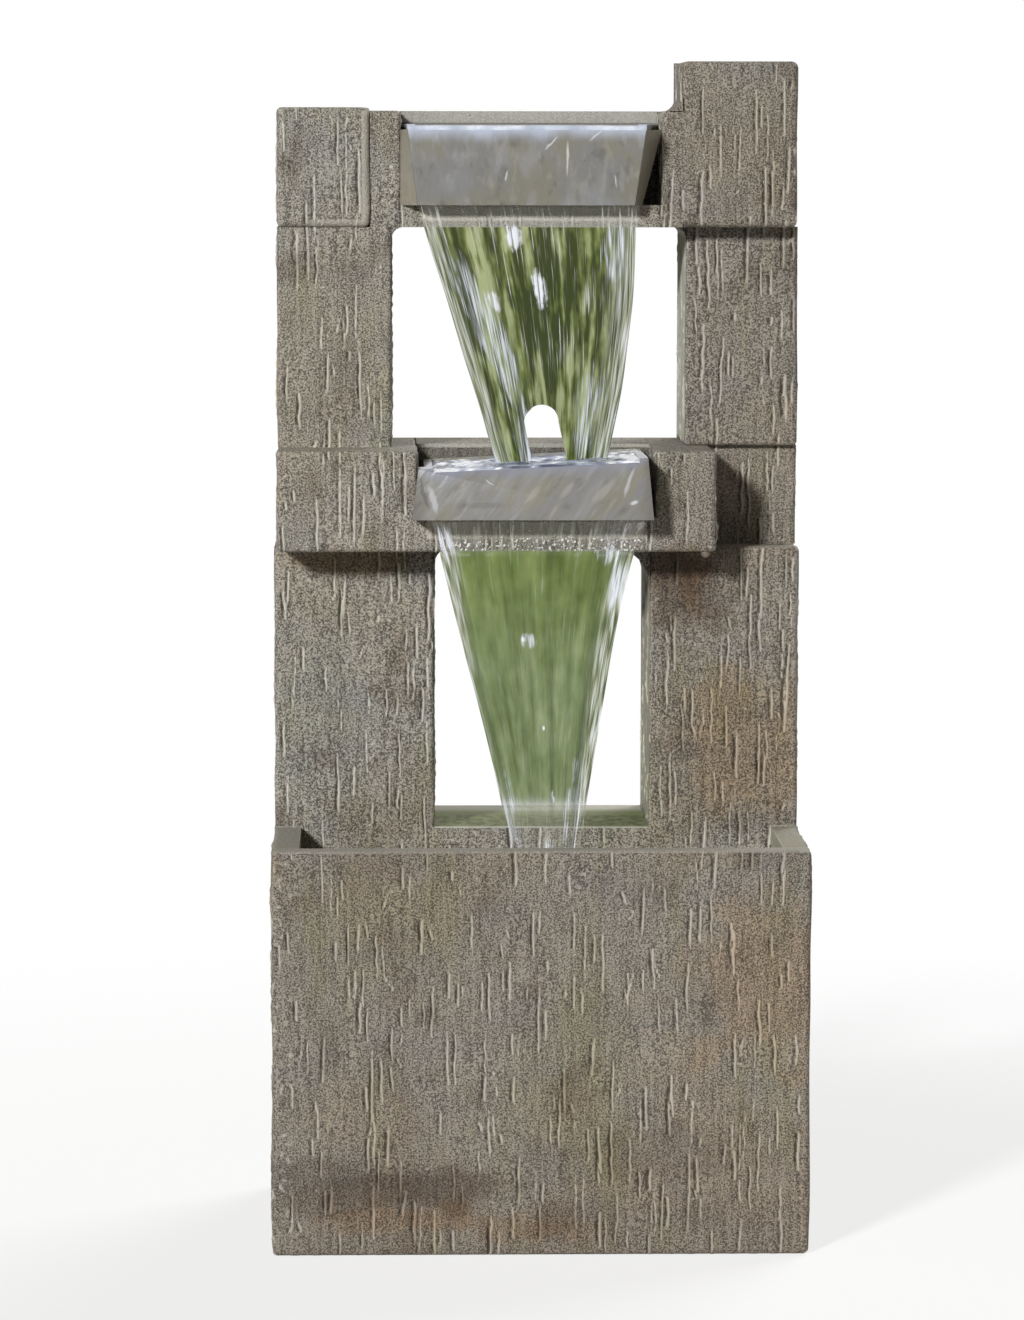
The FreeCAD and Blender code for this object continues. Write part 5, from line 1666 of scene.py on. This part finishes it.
def waters() -> list[Piece]:
    """List the trays and the water, from the top down.

    Returns:
        The pieces.
    """
    upper = FallWater(
        "upper_fall_water", open_from=0.083, open_to=1.3,
        deep=(0.036, 0.050, 0.008), green=(0.120, 0.150, 0.038), bright=(0.330, 0.375, 0.190),
        contrast=1.20, columns=7.0, left_rim=(0.72, 1.00), right_rim=(0.60, 0.98), threads=0.35,
        flecks=(
            Glint(-0.177, 0.123, 0.075, 0.050), Glint(0.015, 0.324, 0.070, 0.070, 0.2),
            Glint(-0.490, 0.370, 0.060, 0.040, 0.3),
        ),
        bundles=(
            Glint(-0.600, 0.500, 0.170, 0.300, 0.75), Glint(0.810, 0.170, 0.110, 0.120),
            Glint(0.550, 0.820, 0.150, 0.170, -0.2), Glint(-0.350, 0.930, 0.200, 0.120),
        ),
        glooms=(Glint(0.000, 0.420, 0.300, 0.330, 0.1),), head=(1.16, 1.13, 1.16),
    )
    lower = FallWater(
        "lower_fall_water", open_from=0.056, open_to=0.530,
        deep=(0.090, 0.125, 0.036), green=(0.165, 0.220, 0.098), bright=(0.270, 0.325, 0.180),
        contrast=0.50, columns=4.2, left_rim=(0.84, 1.03), right_rim=(0.66, 0.98), threads=0.05,
        flecks=(
            Glint(-0.190, 0.222, 0.028, 0.005), Glint(0.040, 0.378, 0.022, 0.005),
            Glint(0.200, 0.512, 0.045, 0.008), Glint(0.100, 0.606, 0.150, 0.014),
        ),
        bundles=(
            Glint(-0.130, 0.226, 0.110, 0.014, 1.0), Glint(0.900, 0.100, 0.070, 0.060),
            Glint(0.780, 0.030, 0.200, 0.040), Glint(-0.930, 0.035, 0.080, 0.040),
            Glint(-0.800, 0.640, 0.200, 0.160), Glint(0.700, 0.640, 0.260, 0.170),
        ),
        head=(0.88, 0.91, 0.58), broken=2.6,
    )
    pool = PoolWater(sparkle=1.0, shine=0.25, scale=46.0, foam=0.14)
    # Near-white drops: their colour is a painted highlight on the spray.
    spray_glint = PoolWater("spray_glint_water", low=(0.62, 0.61, 0.58), high=(0.92, 0.91, 0.88))
    dark_drop = PoolWater("drop_water", low=(0.080, 0.064, 0.048), high=(0.200, 0.160, 0.120),
                          sparkle=0.0, shine=0.3)
    film = PoolWater("film_water", low=(0.440, 0.490, 0.600), high=(0.640, 0.690, 0.790))
    basin_pool = PoolWater("basin_water", low=(0.06, 0.075, 0.05), high=(0.20, 0.235, 0.19),
                           alpha=0.86, scale=45.0)
    return [
        SpillTray("upper_tray_casting", UPPER_TRAY, "upper_spill_tray"),
        TrayCheeks("tray_cheeks", CHEEK),
        SpillTray("lower_tray_casting", LOWER_TRAY, "lower_spill_tray", lip_slope=0.05, tuck=4.5),
        WaterFall("upper_fall", upper, "upper_water_sheet", gap=(2.8, 607.0, 13.0), gap_lean=0.2),
        WaterFall("lower_fall", lower, "lower_water_sheet", top=538.0, foot=140.0,
                  left=(-79.5, 102.0, 1.0, -22.0), right=(78.0, -68.0, 0.7, 0.0), front=-72.0,
                  ridge=0.8, rows=150, seed=8),
        TrayPool("upper_pool", film, left=-97.0, right=79.6, lip=-26.3, roll=2.2, drop=0.4),
        TrayPool("lower_pool", pool, left=-84.5, right=77.0, back=42.0, lip=-71.5, level=578.0,
                 roll=3.0, drop=2.0, splash=(7.0, -12.0), ripple=0.9, slope=0.05),
        TrayPool("basin_pool", basin_pool, left=-177.3, right=177.3, back=115.5, lip=-111.0, level=140.0,
                 roll=0.8, drop=0.5, splash=(7.0, -70.0), ripple=1.1),
        Beads("water_beads", spray_glint),
        Beads("hanging_drop", dark_drop, count=0, hanging=(124.0, -41.0, 510.5)),
    ]


@dataclass
class Fittings:
    """The CAD nodes whose shape is right, each with its finish."""

    finishes: dict[Finish, tuple[str, ...]] = field(default_factory=lambda: {
        STONE: ("rear_panel", "access_hatch"),
        STEEL: ("panel_screws", "tower_bolts", "locating_dowels", "hatch_screws", "hose_clamps"),
        RUBBER: ("hatch_gasket", "inlet_gasket", "cable_gland", "pump_seal", "shaft_bushes",
                 "pump_feet", "drain_plug"),
        PLASTIC: ("pump_motor", "pump_volute", "pump_strainer", "impeller", "inlet_elbow",
                  "inlet_nut", "hose_clips"),
        KNOB: ("flow_knob",),
        HOSE: ("delivery_hose",),
        CERAMIC: ("rotor_shaft",),
        FERRITE: ("rotor_magnet",),
    })

    def dress(self) -> None:
        """Give each node its finish."""
        for finish, nodes in self.finishes.items():
            for node in nodes:
                finish.dress(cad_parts[node])
                LOG.info("%s: %s", node, finish.name)


@dataclass
class Studio:
    """A pale floor, soft light from the upper left, and a long lens in front."""

    camera_place: Vector = field(default_factory=lambda: metres(-118.9, -3848.9, 820.9))
    camera_aim: Vector = field(default_factory=lambda: metres(-19.2, -20.0, 429.2))
    camera_roll: float = 0.084
    lens: float = 140.31
    sensor_width: float = 36.0
    sight: float = 50.0
    key_way: Vector = field(default_factory=lambda: Vector((0.57, 1.0, -0.49)))
    key_strength: float = 3.3
    key_softness: float = 8.0
    fill_way: Vector = field(default_factory=lambda: Vector((-0.6, -0.8, -0.6)))
    fill_strength: float = 2.3
    fill_softness: float = 40.0
    ambient: float = 0.135
    floor_radius: float = 1.6
    fade_from: float = 0.35
    fade_share: float = 0.9

    def build(self) -> None:
        """Set up the floor, the light, the world and the camera."""
        bpy.context.scene.view_settings.view_transform = "Standard"
        self._floor()
        self._sun("key", self.key_way, self.key_strength, self.key_softness)
        self._sun("fill", self.fill_way, self.fill_strength, self.fill_softness)
        self._world()
        self._camera()

    def _floor(self) -> None:
        """Lay a round floor that fades into the white around it."""
        disc = bmesh.new()
        bmesh.ops.create_circle(disc, cap_ends=True, segments=64, radius=self.floor_radius)
        floor = linked("floor", mesh_of("floor", disc))
        sheet = ShaderSheet(bpy.data.materials.new("floor_paper"))
        x, y, _ = sheet.axes()
        away = (x * x + y * y) ** 0.5
        paper = sheet.node("ShaderNodeBsdfDiffuse", {}, {"Color": (0.9, 0.9, 0.9)})
        white = sheet.node("ShaderNodeEmission", {}, {"Color": (1.0, 1.0, 1.0), "Strength": 1.0})
        clear = sheet.node("ShaderNodeBsdfTransparent", {}, {})
        lit = sheet.blended(sheet.seen() * 0.7, paper, white)
        away = away.between(self.fade_from, self.floor_radius * self.fade_share)
        faded = sheet.blended(away, lit, clear)
        sheet.node("ShaderNodeOutputMaterial", {}, {"Surface": faded.outputs[0]})
        floor.data.materials.append(sheet.owner)

    @staticmethod
    def _sun(name: str, way: Vector, strength: float, softness: float) -> None:
        """Hang a soft lamp.

        Args:
            name: Its name.
            way: The way its light travels.
            strength: Its strength.
            softness: How wide it looks, in degrees.
        """
        lamp = bpy.data.lights.new(name, "SUN")
        lamp.energy = strength
        lamp.angle = math.radians(softness)
        linked(name, lamp).rotation_euler = way.to_track_quat("-Z", "Y").to_euler()

    def _world(self) -> None:
        """Surround the scene with white that is seen and reflected, and lights softly."""
        world = bpy.data.worlds.new("studio")
        sheet = ShaderSheet(world)
        soft = sheet.node("ShaderNodeBackground", {}, {"Color": (1.0, 0.91, 0.78), "Strength": self.ambient})
        white = sheet.node("ShaderNodeBackground", {}, {"Color": (1.0, 1.0, 1.0), "Strength": 1.0})
        either = sheet.blended(sheet.seen(), soft, white)
        sheet.node("ShaderNodeOutputWorld", {}, {"Surface": either.outputs[0]})
        bpy.context.scene.world = world

    def _camera(self) -> None:
        """Set the camera where the photograph was taken from."""
        camera = bpy.data.cameras.new("camera")
        camera.lens = self.lens
        camera.sensor_width = self.sensor_width
        camera.clip_end = self.sight
        holder = linked("camera", camera)
        turn = (self.camera_aim - self.camera_place).to_track_quat("-Z", "Y").to_matrix()
        turn = turn @ Matrix.Rotation(math.radians(self.camera_roll), 3, "Z")
        holder.matrix_world = Matrix.Translation(self.camera_place) @ turn.to_4x4()
        bpy.context.scene.camera = holder


def main() -> None:
    """Build the studio, the stone, the water and the fittings."""
    logging.basicConfig(level=logging.INFO, format="%(name)s %(message)s")
    Studio().build()
    for piece in castings() + waters():
        piece.build()
    Fittings().dress()


if __name__ == "__main__":
    main()
